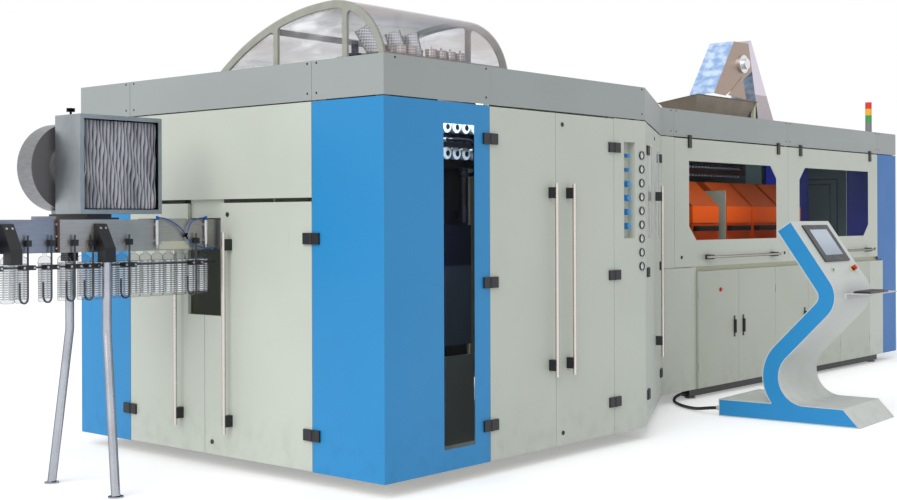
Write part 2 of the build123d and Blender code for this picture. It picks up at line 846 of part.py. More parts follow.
door_bottom = floor_gap + seam
door_top = panel_top - seam
half_seam = seam / 2
leaf("front_door_left", FRONT, blue_front + half_seam, front_door_split - half_seam, door_bottom, door_top,
     blue_front, 1, front_hinges, ())
front_lock = front_door_split + 76
leaf("front_door_right", FRONT, front_door_split + half_seam, gauge_panel_left - half_seam, door_bottom,
     door_top, gauge_panel_left, -1, front_hinges, ((front_lock, 2264), (front_lock, 176)))
notch_start = cabin_depth - notch_far
notch_end = cabin_depth - notch_near
end_split = cabin_depth - end_door_split
end_right_axis = cabin_depth - blue_side
leaf("end_door_left", LEFT, blue_rear + half_seam, end_split - half_seam, door_bottom, side_door_top,
     blue_rear, 1, end_hinges, (), notch=(notch_start, end_split))
leaf("end_door_right", LEFT, end_split + half_seam, end_right_axis - half_seam, door_bottom, side_door_top,
     end_right_axis, -1, end_hinges, ((1644, 1660), (1483, 175)), notch=(end_split, notch_end))
leaf("angled_door_left", ANGLED, angled_left + half_seam, angled_split - half_seam, door_bottom, door_top,
     angled_left, 1, angled_hinges, (), window=angled_windows[0])
leaf("angled_door_right", ANGLED, angled_split + half_seam, angled_right - half_seam, door_bottom, door_top,
     angled_right, -1, angled_hinges, ((angled_split + 25, 2270),), window=angled_windows[1])
for side, window in zip(("left", "right"), angled_windows):
    window_pane(f"angled_pane_{side}", ANGLED, (*window, angled_window_bottom, angled_window_top))

upright_handle("front_handle_left", FRONT, front_door_split - 60, 570, 1863, (647, 1800))
upright_handle("front_handle_right", FRONT, front_door_split + 140, 570, 1863, (647, 1800))
upright_handle("end_handle_right", LEFT, cabin_depth - 1372, 250, 1545, (330, 1465))
upright_handle("end_handle_left", LEFT, cabin_depth - 1876, 260, 1545, (340, 1465))
upright_handle("angled_handle", ANGLED, angled_split + 155, 500, 1890, (630, 1806))
for side, near, far in (
    ("left", flap_left + 488, flap_split - 273),
    ("right", flap_split + 491, flap_right - 237),
):
    level_handle(f"flap_handle_{side}", OVEN, near, far, 1275, (near + 79, far - 79))

flap_low = flap_bottom + half_seam
for side, left, right, cut, heights, locked in (
    ("left", flap_left, flap_split, 1, left_flap_hinges, (flap_left + 118, flap_split - 85)),
    ("right", flap_split, flap_right, -1, right_flap_hinges, (flap_right - 80,)),
):
    near, far = left + flap_window_inset, right - flap_window_inset
    low, high = flap_window_bottom, flap_window_top
    corners = ((near, high), (far - window_cut, high), (far, high - window_cut),
               (far, low), (near + window_cut, low), (near, low + window_cut))
    if cut < 0:
        corners = tuple((near + far - x, z) for x, z in corners)
    with BuildPart() as flap:
        pan(OVEN, left + half_seam, right - half_seam, flap_low, door_top)
        prism(elevation(OVEN, -1), corners, -leaf_depth, Mode.SUBTRACT)
        for along in heights:
            flap_hinge(OVEN, along, True)
        for along in locked:
            lock(OVEN, along, 1280)
        save(flap, f"oven_flap_{side}")
    window_pane(f"flap_pane_{side}", OVEN, (near, far, low, high))

for number, (near, far) in enumerate(zip(cabinet_seams, cabinet_seams[1:])):
    hinged_right = cabinet_hinge_sides[number]
    grip = near + cabinet_handle_offset if hinged_right else far - cabinet_handle_offset
    with BuildPart() as cabinet_door:
        pan(CABINET, near + half_seam, far - half_seam, door_bottom, cabinet_top - half_seam)
        middle = cabinet_handle_height
        block(CABINET, grip - 13, grip + 13, -4, -seat, middle - 98, middle + 98)
        block(CABINET, grip - 9, grip + 9, -22, -4 - seat, middle - 62, middle + 62)
        if number == 0:
            lamp = near + lamp_offset
            rod(on_wall(CABINET, lamp, -seat, lamp_height), on_wall(CABINET, lamp, -14, lamp_height), 32)
        # two thin hinges, rolled round a pin on the outer edge of the folded sheet
        pin_line = far - half_seam if hinged_right else near + half_seam
        for start in (250, 900):
            end = start + hinge_height
            rod(on_wall(CABINET, pin_line, 0, start), on_wall(CABINET, pin_line, 0, end), cabinet_pin)
        save(cabinet_door, f"cabinet_door_{number + 1}")

# Canopy on the cabin roof

rear_radius = canopy_front_radius + canopy_rise_offset
front_centre = canopy_top - canopy_front_radius
rear_centre = canopy_top - rear_radius
arch_thick = 18
rail_top = roof_top + 14


def arch(inset, low):
    """Outline of the canopy, drawn inwards by a distance and cut off at a height."""
    front, rear = canopy_front_radius - inset, rear_radius - inset
    front_end = 90 - degrees(asin((low - front_centre) / front))
    rear_end = 90 - degrees(asin((low - rear_centre) / rear))
    with BuildLine() as outline:
        start = CenterArc((canopy_peak, front_centre), front, 90, front_end)
        finish = CenterArc((canopy_peak, rear_centre), rear, 90, -rear_end)
        Line(start @ 1, finish @ 1)
    make_face(outline.edges())


arch_places = (canopy_left, canopy_left + canopy_length - arch_thick)
with BuildPart() as canopy_frame:
    for place_x in arch_places:
        with BuildSketch(section(FRONT, place_x)) as side_arch:
            arch(0, roof_top + seat)
        solid(side_arch.sketch, arch_thick)
    for place_x in arch_places:
        with BuildSketch(section(FRONT, place_x)) as holes:
            arch(canopy_band, roof_top - 2 * canopy_corner)
            for along in (upright_near, upright_far):
                with Locations((along, canopy_top)):
                    Rectangle(upright_width, 1000, mode=Mode.SUBTRACT)
            offset(amount=-canopy_corner)
            offset(amount=canopy_corner)
        solid(holes.sketch, arch_thick, Mode.SUBTRACT)
    near, far = arch_places[0] + arch_thick + seat, arch_places[1] - seat
    block(FRONT, near, far, 985, 1015, 2792, 2828)
    for along in (canopy_front + 6, canopy_back - 36):
        block(FRONT, near, far, along, along + 24, roof_top + seat, rail_top)
    save(canopy_frame, "canopy_frame")

with BuildPart() as canopy_shell:
    with BuildSketch(section(FRONT, canopy_left)) as skin:
        arch(-canopy_skin - seat, roof_top + seat)
    solid(skin.sketch, canopy_length)
    with BuildSketch(section(FRONT, canopy_left)) as hollow:
        arch(-seat, roof_top)
    solid(hollow.sketch, canopy_length, Mode.SUBTRACT)
    for place_x in (near, far - canopy_skin):
        with BuildSketch(section(FRONT, place_x + seat)) as side_pane:
            arch(canopy_band - 12, rail_top + seat)
        solid(side_pane.sketch, canopy_skin - 2 * seat)
    block(FRONT, near, far, 984, 1016, 2791, 2829, Mode.SUBTRACT)
    save(canopy_shell, "canopy_shell")

with BuildPart() as exhaust_silencers:
    stand = roof_top + seat
    for x, lean in ((272, 75), (486, 40), (634, 30)):
        block(FRONT, x - 60, x + 60, 270, 390, stand, stand + 46)
        rod(place(x, 330, stand + 40), place(x, 330, stand + 62), 60)
        rod(place(x, 330, stand + 60), place(x - lean, 330 + lean / 2, stand + 200), 100)
    for x in (363, 454, 639, 733, 820, 918):
        rod(place(x, 200, stand), place(x, 200, stand + 96), 72)
        rod(place(x, 200, stand + 95), place(x, 200, stand + 116), 12)
    for x in (330, 480, 630, 780, 930):
        block(FRONT, x - 40, x + 40, 520, 600, stand, stand + 74)
        rod(place(x, 560, stand + 70), place(x, 560, stand + 150), 46)
    block(FRONT, 300, 1000, 640, 700, stand, stand + 60)
    save(exhaust_silencers, "exhaust_silencers")

# Preform hopper, elevator and stack light on the oven roof

rim_plane = Plane(
    origin=place(hopper_left, hopper_front, hopper_rim), x_dir=(1, 0, 0),
    z_dir=(0, sin(radians(hopper_tilt)), cos(radians(hopper_tilt))),
)


def funnel(inset, drop, mode):
    """The tray's body between its rim and its smaller floor."""
    rim = (hopper_length - 2 * inset, hopper_width - 2 * inset)
    with BuildSketch(rim_plane) as mouth:
        with Locations((hopper_length / 2, hopper_width / 2)):
            Rectangle(*rim)
    with BuildSketch(rim_plane.offset(-drop)) as base:
        with Locations((hopper_length / 2, hopper_width / 2)):
            Rectangle(rim[0] - 2 * hopper_slope, rim[1] - 2 * hopper_slope)
    body = loft([mouth.sketch, base.sketch], mode=Mode.PRIVATE)
    join()
    add(body, mode=mode)


with BuildPart() as preform_hopper:
    with BuildSketch(rim_plane.offset(-sheet)) as flange:
        with Locations((hopper_length / 2, hopper_width / 2)):
            Rectangle(hopper_length + 2 * hopper_flange, hopper_width + 2 * hopper_flange)
    solid(flange.sketch, sheet)
    funnel(0, hopper_fall, Mode.ADD)
    funnel(sheet, hopper_fall - sheet, Mode.SUBTRACT)
    save(preform_hopper, "preform_hopper")


column_left = elevator_head_right - 55


def column_edge(height):
    """Left edge of the sloping column at a height."""
    fall = (elevator_top - 30 - height) / (elevator_top - 30 - roof_top - seat)
    return column_left + fall * (elevator_foot_left - column_left)


def chute_outline(inset):
    """Corners of the discharge chute, seen from the front, drawn inwards; its foot stays open."""
    return (
        (elevator_head_left + inset, elevator_top - 45 - inset),
        (column_edge(elevator_top - 40) - seat - inset, elevator_top - 40 - inset),
        (column_edge(chute_bend) - seat - inset, chute_bend),
        (chute_foot_right - inset, chute_bottom - inset),
        (chute_foot_left + inset, chute_bottom + 10 - inset),
    )


with BuildPart() as preform_elevator:
    face = elevation(FRONT, elevator_front)
    prism(face, chute_outline(0), -elevator_width)
    inner_face, inner_width = elevation(FRONT, elevator_front + sheet), elevator_width - 2 * sheet
    prism(inner_face, chute_outline(sheet), -inner_width, Mode.SUBTRACT)
    foot = roof_top + seat
    column = (
        (column_left, elevator_top - 30), (elevator_head_right, elevator_top),
        (elevator_foot_right, foot), (elevator_foot_left, foot),
    )
    prism(face, column, -elevator_width)
    hub = on_wall(FRONT, bearing_x, elevator_front - seat, bearing_z)
    rod(hub, hub - Vector(0, 24, 0), 190)
    rod(hub - Vector(0, 24, 0), hub - Vector(0, 62, 0), bearing_diameter)
    gusset = (
        (bearing_x - 10, bearing_z - 131),
        (bearing_x - 310, chute_bottom + 10),
        (bearing_x + 80, chute_bottom - 15),
    )
    prism(elevation(FRONT, elevator_front - seat), gusset, sheet)
    save(preform_elevator, "preform_elevator")

with BuildPart() as stack_light:
    levels = [roof_top, *(roof_top + stack_base + step * stack_ring for step in range(4))]
    for low, high in zip(levels, levels[1:]):
        rod(place(stack_x, stack_y, low + seat), place(stack_x, stack_y, high), stack_diameter)
    save(stack_light, "stack_light")

# Air conveyor

with BuildPart() as conveyor_beam:
    beam_right = beam_inside
    beam_back = beam_front + beam_width
    block(FRONT, beam_left, beam_right, beam_front, beam_back, beam_bottom, beam_top)
    block(FRONT, beam_left - 1, beam_right + 1, beam_front + beam_wall, beam_back - beam_wall,
          beam_bottom + beam_wall, beam_top - beam_wall, Mode.SUBTRACT)
    block(FRONT, beam_left - 1, beam_right + 1, bottle_line - slot_width / 2, bottle_line + slot_width / 2,
          beam_bottom - 1, beam_bottom + beam_wall + 1, Mode.SUBTRACT)
    for x in (beam_joint - 8, beam_joint + seat):
        block(FRONT, x, x + 7, beam_front - 20, beam_front - seat, beam_bottom, beam_top)
        block(FRONT, x, x + 7, beam_front - 20, beam_back + 20, beam_top + seat, beam_top + 20)
        block(FRONT, x, x + 7, beam_back + seat, beam_back + 20, beam_bottom, beam_top)
    block(FRONT, -463, -230, beam_front + 20, beam_back - 20, beam_top + seat, beam_top + 5)
    save(conveyor_beam, "conveyor_beam")

leg_rows = ((beam_front - leg_offset, -1), (beam_front + beam_width + leg_offset, 1))
with BuildPart() as conveyor_legs:
    for y, outwards in leg_rows:
        foot_x, foot_y = station_x - 40, y + outwards * leg_splay
        bends = (
            place(station_x, y, socket_top - seat),
            place(station_x, y, leg_bend_height),
            place(foot_x, foot_y, 6),
        )
        tube_path(bends, 260, leg_diameter)
        rod(place(foot_x, foot_y, 0), place(foot_x, foot_y, 6), 90)
    save(conveyor_legs, "conveyor_legs")

hook_places = (-1600, -1393, -1240, -1084, -960, -700, -190)
hook_front = beam_front - 22
rail_y = hook_front + rail_rod + 8
with BuildPart() as conveyor_clamps:
    for x in (station_x, station_x - station_pitch):
        for y, outwards in leg_rows:
            # a plate on the side of the beam that leans out to a socket over the leg
            face_y = beam_front - seat if outwards < 0 else beam_front + beam_width + seat
            out, back = y + outwards * socket_half, y - outwards * socket_half
            bracket = (
                (face_y, beam_top - 25), (face_y + outwards * 22, beam_top - 25),
                (out - outwards * 13, socket_top + 40), (out, socket_top + 20), (out, bracket_low),
                (back, bracket_low), (back, socket_top), (face_y, socket_top + 10),
            )
            prism(section(FRONT, x - socket_half), bracket, 2 * socket_half)
            rod(place(x, y, bracket_low - 1), place(x, y, socket_top), leg_diameter + 2 * seat, Mode.SUBTRACT)
    for x in hook_places:
        block(FRONT, x - 16, x + 16, hook_front - 16, beam_front - seat, 1476, 1512)
        rod(place(x, hook_front, 1475), place(x, hook_front, 1513), rail_rod + 2 * seat, Mode.SUBTRACT)
        # a block that clamps the rail to the hook
        low, high = rail_height - 14, rail_height + 14
        block(FRONT, x - 45, x + 45, hook_front - 14, rail_y + 14, low, high)
        rod(place(x, hook_front, low - 1), place(x, hook_front, high + 1), rail_rod + 2 * seat, Mode.SUBTRACT)
        rod(place(x - 46, rail_y, rail_height), place(x + 46, rail_y, rail_height),
            rail_rod + 2 * seat, Mode.SUBTRACT)
    save(conveyor_clamps, "conveyor_clamps")

with BuildPart() as guide_rail:
    rod(place(beam_left + 20, rail_y, rail_height), place(-20, rail_y, rail_height), rail_rod)
    for x in hook_places:
        hook_rear = hook_front + hook_reach
        tube_path(
            (place(x, hook_front, 1540), place(x, hook_front, hook_low),
             place(x, hook_rear, hook_low), place(x, hook_rear, hook_tip)), hook_radius, rail_rod)
    save(guide_rail, "guide_rail")

bottle_xs = [*bottle_places, *(bottle_run_start + step * bottle_run_pitch for step in range(bottle_run_count))]
lip = beam_bottom + beam_wall + seat
with BuildPart() as bottles:
    radius = bottle_diameter / 2
    neck = neck_diameter / 2
    for x in bottle_xs:
        with BuildSketch(section(FRONT, x)) as profile:
            with BuildLine():
                Polyline(
                    (bottle_line, bottle_low), (bottle_line + radius - 5, bottle_low),
                    (bottle_line + radius, bottle_low + 10), (bottle_line + radius, bottle_shoulder),
                    (bottle_line + radius - 4, bottle_shoulder + 14), (bottle_line + neck + 8, lip - 24),
                    (bottle_line + neck, lip - 18), (bottle_line + neck, lip), (bottle_line + neck + 5, lip),
                    (bottle_line + neck + 5, lip + 3), (bottle_line + neck - 2, lip + 3),
                    (bottle_line + neck - 2, lip + 20), (bottle_line, lip + 20), close=True,
                )
            make_face()
        upright = Axis(place(x, bottle_line, 0), (0, 0, 1))
        waiting.append(revolve(profile.sketch, axis=upright, mode=Mode.PRIVATE))
    save(bottles, "bottles")

# Blower

filter_right = filter_left + filter_width
filter_top = filter_bottom + filter_height
filter_back = beam_front + filter_depth
with BuildPart() as filter_box:
    block(FRONT, filter_left, filter_right, beam_front, filter_back, filter_bottom, filter_top)
    block(FRONT, filter_left + filter_rim, filter_right - filter_rim, beam_front - 1, beam_front + sheet + 1,
          filter_bottom + filter_rim, filter_top - filter_rim, Mode.SUBTRACT)
    block(FRONT, filter_left + sheet, filter_right - sheet, beam_front + sheet, filter_back - sheet,
          filter_bottom + sheet, filter_top - sheet, Mode.SUBTRACT)
    rod(place(-970, 1690, filter_top + seat), place(-970, 1690, filter_top + 22), 14)
    with BuildSketch(level(FRONT, filter_top + 22 + seat)) as star:
        with Locations((-970, 1690)):
            Circle(26)
            with PolarLocations(28, 6, start_angle=30):
                Circle(9, mode=Mode.SUBTRACT)
    solid(star.sketch, 22)
    save(filter_box, "filter_box")

with BuildPart() as filter_media:
    count = 2 * pleat_count
    width = (filter_width - 2 * filter_rim - 8) / count
    start = filter_left + filter_rim + 4
    front, back = beam_front + sheet + 4, beam_front + sheet + 4 + pleat_depth
    crests = [(start + number * width, back if number % 2 else front) for number in range(count + 1)]
    edge = [(x, y + 6) for x, y in reversed(crests)]
    prism(level(FRONT, filter_bottom + sheet + 1), (*crests, *edge), filter_height - 2 * sheet - 2)
    block(FRONT, filter_left + sheet + 1, filter_right - sheet - 1, back + 6 + seat, back + 20,
          filter_bottom + sheet + seat, filter_top - sheet - seat)
    save(filter_media, "filter_media")

with BuildPart() as blower:
    back = drum_front + drum_depth
    rod(place(drum_x, drum_front, drum_z), place(drum_x, back, drum_z), drum_diameter)
    rod(place(drum_x, filter_back + seat, drum_z), place(drum_x, drum_front + 1, drum_z), 300)
    rod(place(drum_x, back - 1, drum_z), place(drum_x, back + 150, drum_z), 200)
    neck_top = drum_z - drum_diameter / 2 + 30
    block(FRONT, -960, -840, drum_front + 20, drum_front + 120, adaptor_top + seat, neck_top)
    join()
    block(FRONT, -1000, -760, beam_front, drum_front + 130, beam_top + seat, beam_top + 12)
    block(FRONT, -970, -800, beam_front + 20, drum_front + 130, beam_top + 11, adaptor_top)
    save(blower, "blower")

with BuildPart() as air_cylinders:
    for x in cylinder_places:
        rod(place(x, cylinder_y, 1471), place(x, cylinder_y, 1625), cylinder_diameter)
        rod(place(x, cylinder_y, 1450), place(x, cylinder_y, 1472), 10)
        rod(place(x, cylinder_y, 1624), place(x, cylinder_y, 1651), 16)
        elbow = -16 if x == cylinder_places[-1] else 16
        rod(place(x, cylinder_y, 1640), place(x + elbow, cylinder_y, 1640), 12)
        for low in (1490, 1590):
            block(FRONT, x - 16, x + 16, cylinder_y, beam_front - seat, low, low + 16)
    centre = place(*fitting)
    for tip in (hose_left_route[-1], hose_right_route[-1], hose_supply_route[0]):
        arm = place(*tip) - centre
        rod(centre, centre + arm * (1 - 0.6 / arm.length), 12)
    block(FRONT, -276, -260, fitting[1], beam_front - seat, 1518, 1530)
    inlet = hose_supply_route[-1]
    rod(place(inlet[0] + 0.5, inlet[1], inlet[2]), place(inlet[0] + 24, inlet[1], inlet[2]), 12)
    block(FRONT, inlet[0] + 10, inlet[0] + 24, inlet[1], beam_front - seat, inlet[2] - 4, inlet[2] + 12)
    save(air_cylinders, "air_cylinders")

cords = (
    ("air_hose_left", hose_left_route, hose_diameter),
    ("air_hose_right", hose_right_route, hose_diameter),
    ("air_hose_supply", hose_supply_route, hose_diameter),
    ("console_cable", cable_route, cable_diameter),
)
for name, route, diameter in cords:
    points = [place(*point) for point in route]
    radii = []
    for before, here, after in zip(points, points[1:], points[2:]):
        entry, leave = here - before, after - here
        turn = radians(entry.get_angle(leave))
        radii.append(0.45 * min(entry.length, leave.length) / tan(turn / 2))
    with BuildPart() as cord:
        tube_path(points, radii, diameter)
        save(cord, name)
    run = sum((after - before).length for before, after in zip(points, points[1:]))
    print(name, "radii", [round(radius) for radius in radii], "run", round(run))

# Inside the oven

with BuildPart() as oven_bed:
    block(FRONT, bed_left, bed_right, bed_front, bed_back, bed_top - 50, bed_top)
    for x in (bed_left + 86, flap_split - 39, bed_right - 110):
        for y in (bed_front + 20, bed_back - 80):
            block(FRONT, x, x + 60, y, y + 60, deck_top + seat, bed_top - 50 - seat)
    for near, far in ((bed_left + 86, flap_split + 961), (flap_split + 1061, bed_right)):
        block(FRONT, near, far, 1620, 1640, bed_top + seat, 2240)
    save(oven_bed, "oven_bed")

with BuildPart() as oven_modules:
    for start in module_starts:
        near, far = flap_left + start, flap_left + start + module_width
        plane = section(FRONT, near)
        prism(plane, ((1200, 1582), (1200, 1744), (1460, 1990), (1560, 1990), (1560, 1582)), far - near)
        prism(plane, ((1240, 1300), (1205, 1360), (1205, 1575), (1560, 1575), (1560, 1300)), far - near)
        block(FRONT, near, far, 1260, 1540, bed_top + seat, 1300 - seat)
        block(FRONT, near, far, 1260, 1540, 1575 + seat, 1582 - seat)
        # handle across the front, standing off between its two feet
        left, right, face_y = near + 15, near + 435, 1205 - seat
        grip = (
            (left, face_y), (left, face_y - 38), (left + 25, face_y - 54), (right - 25, face_y - 54),
            (right, face_y - 38), (right, face_y), (right - 40, face_y), (right - 52, face_y - 26),
            (left + 52, face_y - 26), (left + 40, face_y),
        )
        prism(level(FRONT, 1505), grip, 50)
    # thin upright partition beside the second module
    partition = ((1205, bed_top + seat), (1205, 1900), (1430, 1900), (1500, bed_top + seat))
    prism(section(FRONT, flap_left + module_starts[1] - 22), partition, 12)
    save(oven_modules, "oven_modules")

# Inside the cabin

with BuildPart() as clamp_unit:
    block(FRONT, 935, 1229, clamp_front, 700, deck_top + seat, 730)
    block(FRONT, 985, 1179, clamp_front + 20, 640, 730 + seat, 800)
    block(FRONT, 950, 1215, clamp_front + 10, 660, 800 + seat, 1587)
    block(FRONT, 960, 1205, clamp_front + 30, 640, 1587 + seat, 1960)
    rod(place(1082, clamp_front - 40, 1600), place(1082, clamp_front - 40, 1960), 60)
    block(FRONT, 1060, 1104, clamp_front - 50, clamp_front + 30 - seat, 1640, 1680)
    valves_left, valve_pitch, valve_face = 935, 95, clamp_front + 10
    block(FRONT, valves_left - 55, valves_left + 3 * valve_pitch + 48, valve_face, 640, 1960 + seat, 2400)
    for height in (2053, 2225, 2330):
        for column in range(4):
            disc = place(valves_left + column * valve_pitch, valve_face - seat, height)
            rod(disc, disc - Vector(0, 34, 0), 78)
    # pipe that arches past the valves
    near_x, far_x, pipe_y = valves_left - 5, valves_left + 258, valve_face - 55
    tube_path(
        (place(near_x, valve_face - seat, 2140), place(near_x, pipe_y, 2140), place(far_x, pipe_y, 2140),
         place(far_x, pipe_y, 1920), place(far_x, clamp_front + 30 - seat, 1920)), (30, 80, 30), 28)
    save(clamp_unit, "clamp_unit")

# Console

CONSOLE = (console_x, console_y, console_turn)
width_dir, depth_dir = heading_of(CONSOLE)
profile_plane = Plane(origin=on_wall(CONSOLE, 0, 0, 0), x_dir=-depth_dir, z_dir=-width_dir)
ribbon_points = (
    (plinth_depth, ribbon), lower_corner, nose_corner, head_corner,
    head_back, inner_corner, (-104, 0), (plinth_depth, 0),
)
ribbon_radii = (0, lower_radius, nose_radius, 0, 0, 74, lower_radius + ribbon, 0)


def console_profile():
    """Side view of the console: the folded ribbon on its plinth."""
    with BuildLine() as sheet_edge:
        FilletPolyline(*ribbon_points, radius=ribbon_radii, close=True)
    make_face(sheet_edge.edges())
    plinth = (0, 0), (console_depth, 0), (plinth_depth, ribbon), (plinth_back, ribbon), (0, ribbon - 2)
    with BuildLine() as plinth_edge:
        Polyline(*plinth, close=True)
    make_face(plinth_edge.edges())


with BuildPart() as console_housing:
    with BuildSketch(profile_plane) as whole:
        console_profile()
    solid(whole.sketch, -console_width)
    for start in (0, side_recess - console_width):
        with BuildSketch(profile_plane.offset(start)) as field:
            console_profile()
            offset(amount=-edge_band)
        solid(field.sketch, -side_recess, Mode.SUBTRACT)
    gland(cable_route[-1], cable_route[-2], 43)
    save(console_housing, "console_housing")

slope_turn = atan2(head_corner[1] - nose_corner[1], nose_corner[0] - head_corner[0])
outward = -depth_dir * sin(slope_turn) + Vector(0, 0, cos(slope_turn))
panel_top_edge = on_wall(CONSOLE, 0, -head_corner[0], head_corner[1])
panel_plane = Plane(origin=panel_top_edge, x_dir=width_dir, z_dir=outward)


def on_panel(across, down, lift, shape, amount):
    """Extrude a sketched shape at a place on the sloping operator panel."""
    with BuildSketch(panel_plane.offset(lift)) as outline:
        with Locations((across, -down)):
            shape()
    solid(outline.sketch, amount)


def middle_of(box):
    """Centre of a box given by its two edges across and its two edges down."""
    return (box[0] + box[1]) / 2, (box[2] + box[3]) / 2


def ring(outer, bore):
    """A round plate with a bore for a stem."""
    Circle(outer)
    Circle(bore, mode=Mode.SUBTRACT)


with BuildPart() as operator_panel:
    on_panel(*middle_of(bezel), seat, lambda: Rectangle(bezel[1] - bezel[0], bezel[3] - bezel[2]), bezel_thick)
    low = bezel_thick + seat
    on_panel(*middle_of(screen), low, lambda: Rectangle(screen[1] - screen[0], screen[3] - screen[2]), 2)
    on_panel(*button_place, seat, lambda: ring(15, button_stem / 2 + 0.4), button_base)
    on_panel(*estop_place, seat, lambda: Circle(31), estop_plate)
    on_panel(*estop_place, estop_plate + seat, lambda: ring(20, estop_stem / 2 + 0.4), estop_collar)
    save(operator_panel, "operator_panel")

# the stems slide in the bores and stop short of what lies under them
button_rest = button_base + 2 * seat + button_travel
with BuildPart() as push_button:
    on_panel(*button_place, button_rest, lambda: Circle(11), 5)
    on_panel(*button_place, seat + button_travel, lambda: Circle(button_stem / 2), button_rest - button_travel)
    save(push_button, "push_button")

estop_rest = estop_plate + estop_collar + 2 * seat + estop_travel
with BuildPart() as estop_head:
    on_panel(*estop_place, estop_rest, lambda: Circle(20), 18)
    stem_low = estop_plate + 1 + estop_travel
    on_panel(*estop_place, stem_low, lambda: Circle(estop_stem / 2), estop_rest - stem_low + 1)
    save(estop_head, "estop_head")

with BuildPart() as keyboard_tray:
    high = tray_height + 8
    block(CONSOLE, tray_left, tray_right, -tray_far, -tray_near, tray_height, high)
    block(CONSOLE, tray_left, tray_right, -tray_near - 50, -tray_near, tray_height - 40, tray_height)
    ends = [on_wall(CONSOLE, x, -nose_centre[0], nose_centre[1]) for x in (tray_left - 1, tray_right + 1)]
    rod(*ends, 2 * (nose_radius + seat), Mode.SUBTRACT)
    low = high + seat
    block(CONSOLE, tray_left + 60, tray_left + 460, -tray_far + 20, -tray_far + 160, low, low + 12)
    save(keyboard_tray, "keyboard_tray")
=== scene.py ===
import math

import bmesh
import bpy
from mathutils import Matrix, Vector


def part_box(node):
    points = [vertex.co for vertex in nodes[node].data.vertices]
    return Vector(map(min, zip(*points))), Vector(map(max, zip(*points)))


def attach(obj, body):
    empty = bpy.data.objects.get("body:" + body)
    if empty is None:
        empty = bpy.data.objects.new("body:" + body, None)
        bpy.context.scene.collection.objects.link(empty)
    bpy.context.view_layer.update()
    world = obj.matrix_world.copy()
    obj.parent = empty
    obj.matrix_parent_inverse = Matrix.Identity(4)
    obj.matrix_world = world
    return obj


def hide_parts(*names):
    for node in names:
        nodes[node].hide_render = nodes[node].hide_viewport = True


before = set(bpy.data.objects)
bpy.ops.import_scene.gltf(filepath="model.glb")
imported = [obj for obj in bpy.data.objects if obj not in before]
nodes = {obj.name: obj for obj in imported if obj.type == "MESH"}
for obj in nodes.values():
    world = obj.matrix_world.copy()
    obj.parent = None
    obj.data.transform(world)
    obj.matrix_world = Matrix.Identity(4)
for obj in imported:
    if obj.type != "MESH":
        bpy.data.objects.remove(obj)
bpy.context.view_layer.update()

# %% [markdown]
# Most sizes below were measured from the outer corner of the cabin, in millimetres,
# while the model's zero lies under a levelling foot. One helper does the step between
# the two, so that every other cell can use the measured numbers as they are.
# %% From measured millimetres to the model's metres
FOOT_INSET = 440


def spot(x, y, z):
    """A point counted from the cabin's front left corner in mm, in the model's metres."""
    return Vector((x - FOOT_INSET, y - FOOT_INSET, z)) / 1000


print("the cabin's corner stands at", tuple(spot(0, 0, 0)))

# %% [markdown]
# The camera repeats the photograph's: its place, heading and lens were solved from the
# straight edges of the cabin. It is level, so upright edges stay upright, and a small
# shift of the lens puts the horizon where the photograph has it.
# %% Camera
FOCAL_PX, HORIZON_PX, IMAGE_WIDTH = 1322.53, 30.53, 897
HEADING, ROLL = math.radians(40.85 - 90), math.radians(-0.187)
EYE = spot(-5532.4, -5276.0, 1623.5)

lens = bpy.data.cameras.new("camera")
lens.sensor_width = 36
lens.lens = FOCAL_PX / IMAGE_WIDTH * lens.sensor_width
lens.shift_y = -HORIZON_PX / IMAGE_WIDTH
lens.clip_end = 200
camera = bpy.data.objects.new("camera", lens)
bpy.context.collection.objects.link(camera)
upright = Matrix.Rotation(math.pi / 2, 4, "X")
turn = Matrix.Rotation(HEADING, 4, "Z") @ upright @ Matrix.Rotation(ROLL, 4, "Z")
camera.matrix_world = Matrix.Translation(EYE) @ turn
bpy.context.scene.camera = camera
print("lens", round(lens.lens, 2), "mm")

# %% [markdown]
# Materials, the world's light and the Geometry Nodes trees below are all trees of nodes.
# They could be clicked together by hand, but node maths reads best as plain arithmetic.
# `Wire` wraps one output socket and turns +, -, *, / and comparisons into Math nodes.
# A comparison gives 1 or 0, so that a product of comparisons is a mask.
# %% Arithmetic with nodes


class Wire:
    """One value that flows between nodes."""

    def __init__(self, tree, socket):
        self.tree = tree
        self.socket = socket

    def calc(self, operation, *others):
        return self.tree.add("ShaderNodeMath", {"operation": operation}, dict(enumerate((self, *others))))

    def __add__(self, other):
        return self.calc("ADD", other)

    __radd__ = __add__

    def __sub__(self, other):
        return self.calc("SUBTRACT", other)

    def __rsub__(self, other):
        return self.tree.add("ShaderNodeMath", {"operation": "SUBTRACT"}, {0: other, 1: self})

    def __mul__(self, other):
        return self.calc("MULTIPLY", other)

    __rmul__ = __mul__

    def __truediv__(self, other):
        return self.calc("DIVIDE", other)

    def __gt__(self, other):
        return self.calc("GREATER_THAN", other)

    def __lt__(self, other):
        return self.calc("LESS_THAN", other)

    def between(self, low, high):
        return (self > low) * (self < high)

    def off(self, middle):
        """Distance from a middle value, always positive."""
        return (self - middle).calc("ABSOLUTE")

    def wave(self, spacing):
        """A sine that passes zero once in every spacing."""
        return (self * (math.pi / spacing)).calc("SINE")

    def folded(self, pitch):
        """Distance from the middle of each step, which makes one pattern repeat."""
        steps = self / pitch
        return (steps - steps.calc("FLOOR") - 0.5) * pitch


print("a wire can", *[name for name in vars(Wire) if not name.startswith("_")])

# %% [markdown]
# `Tree` has the one method that adds any other node: first its settings, such as the
# operation of a Math node, then its sockets, which take a value or a wire. A material is
# a `Finish`, built on it, with a short method for each kind of node that is used often.
# Patterns are placed by Object coordinates, which stay with a door when it swings.
# %% A small language for nodes


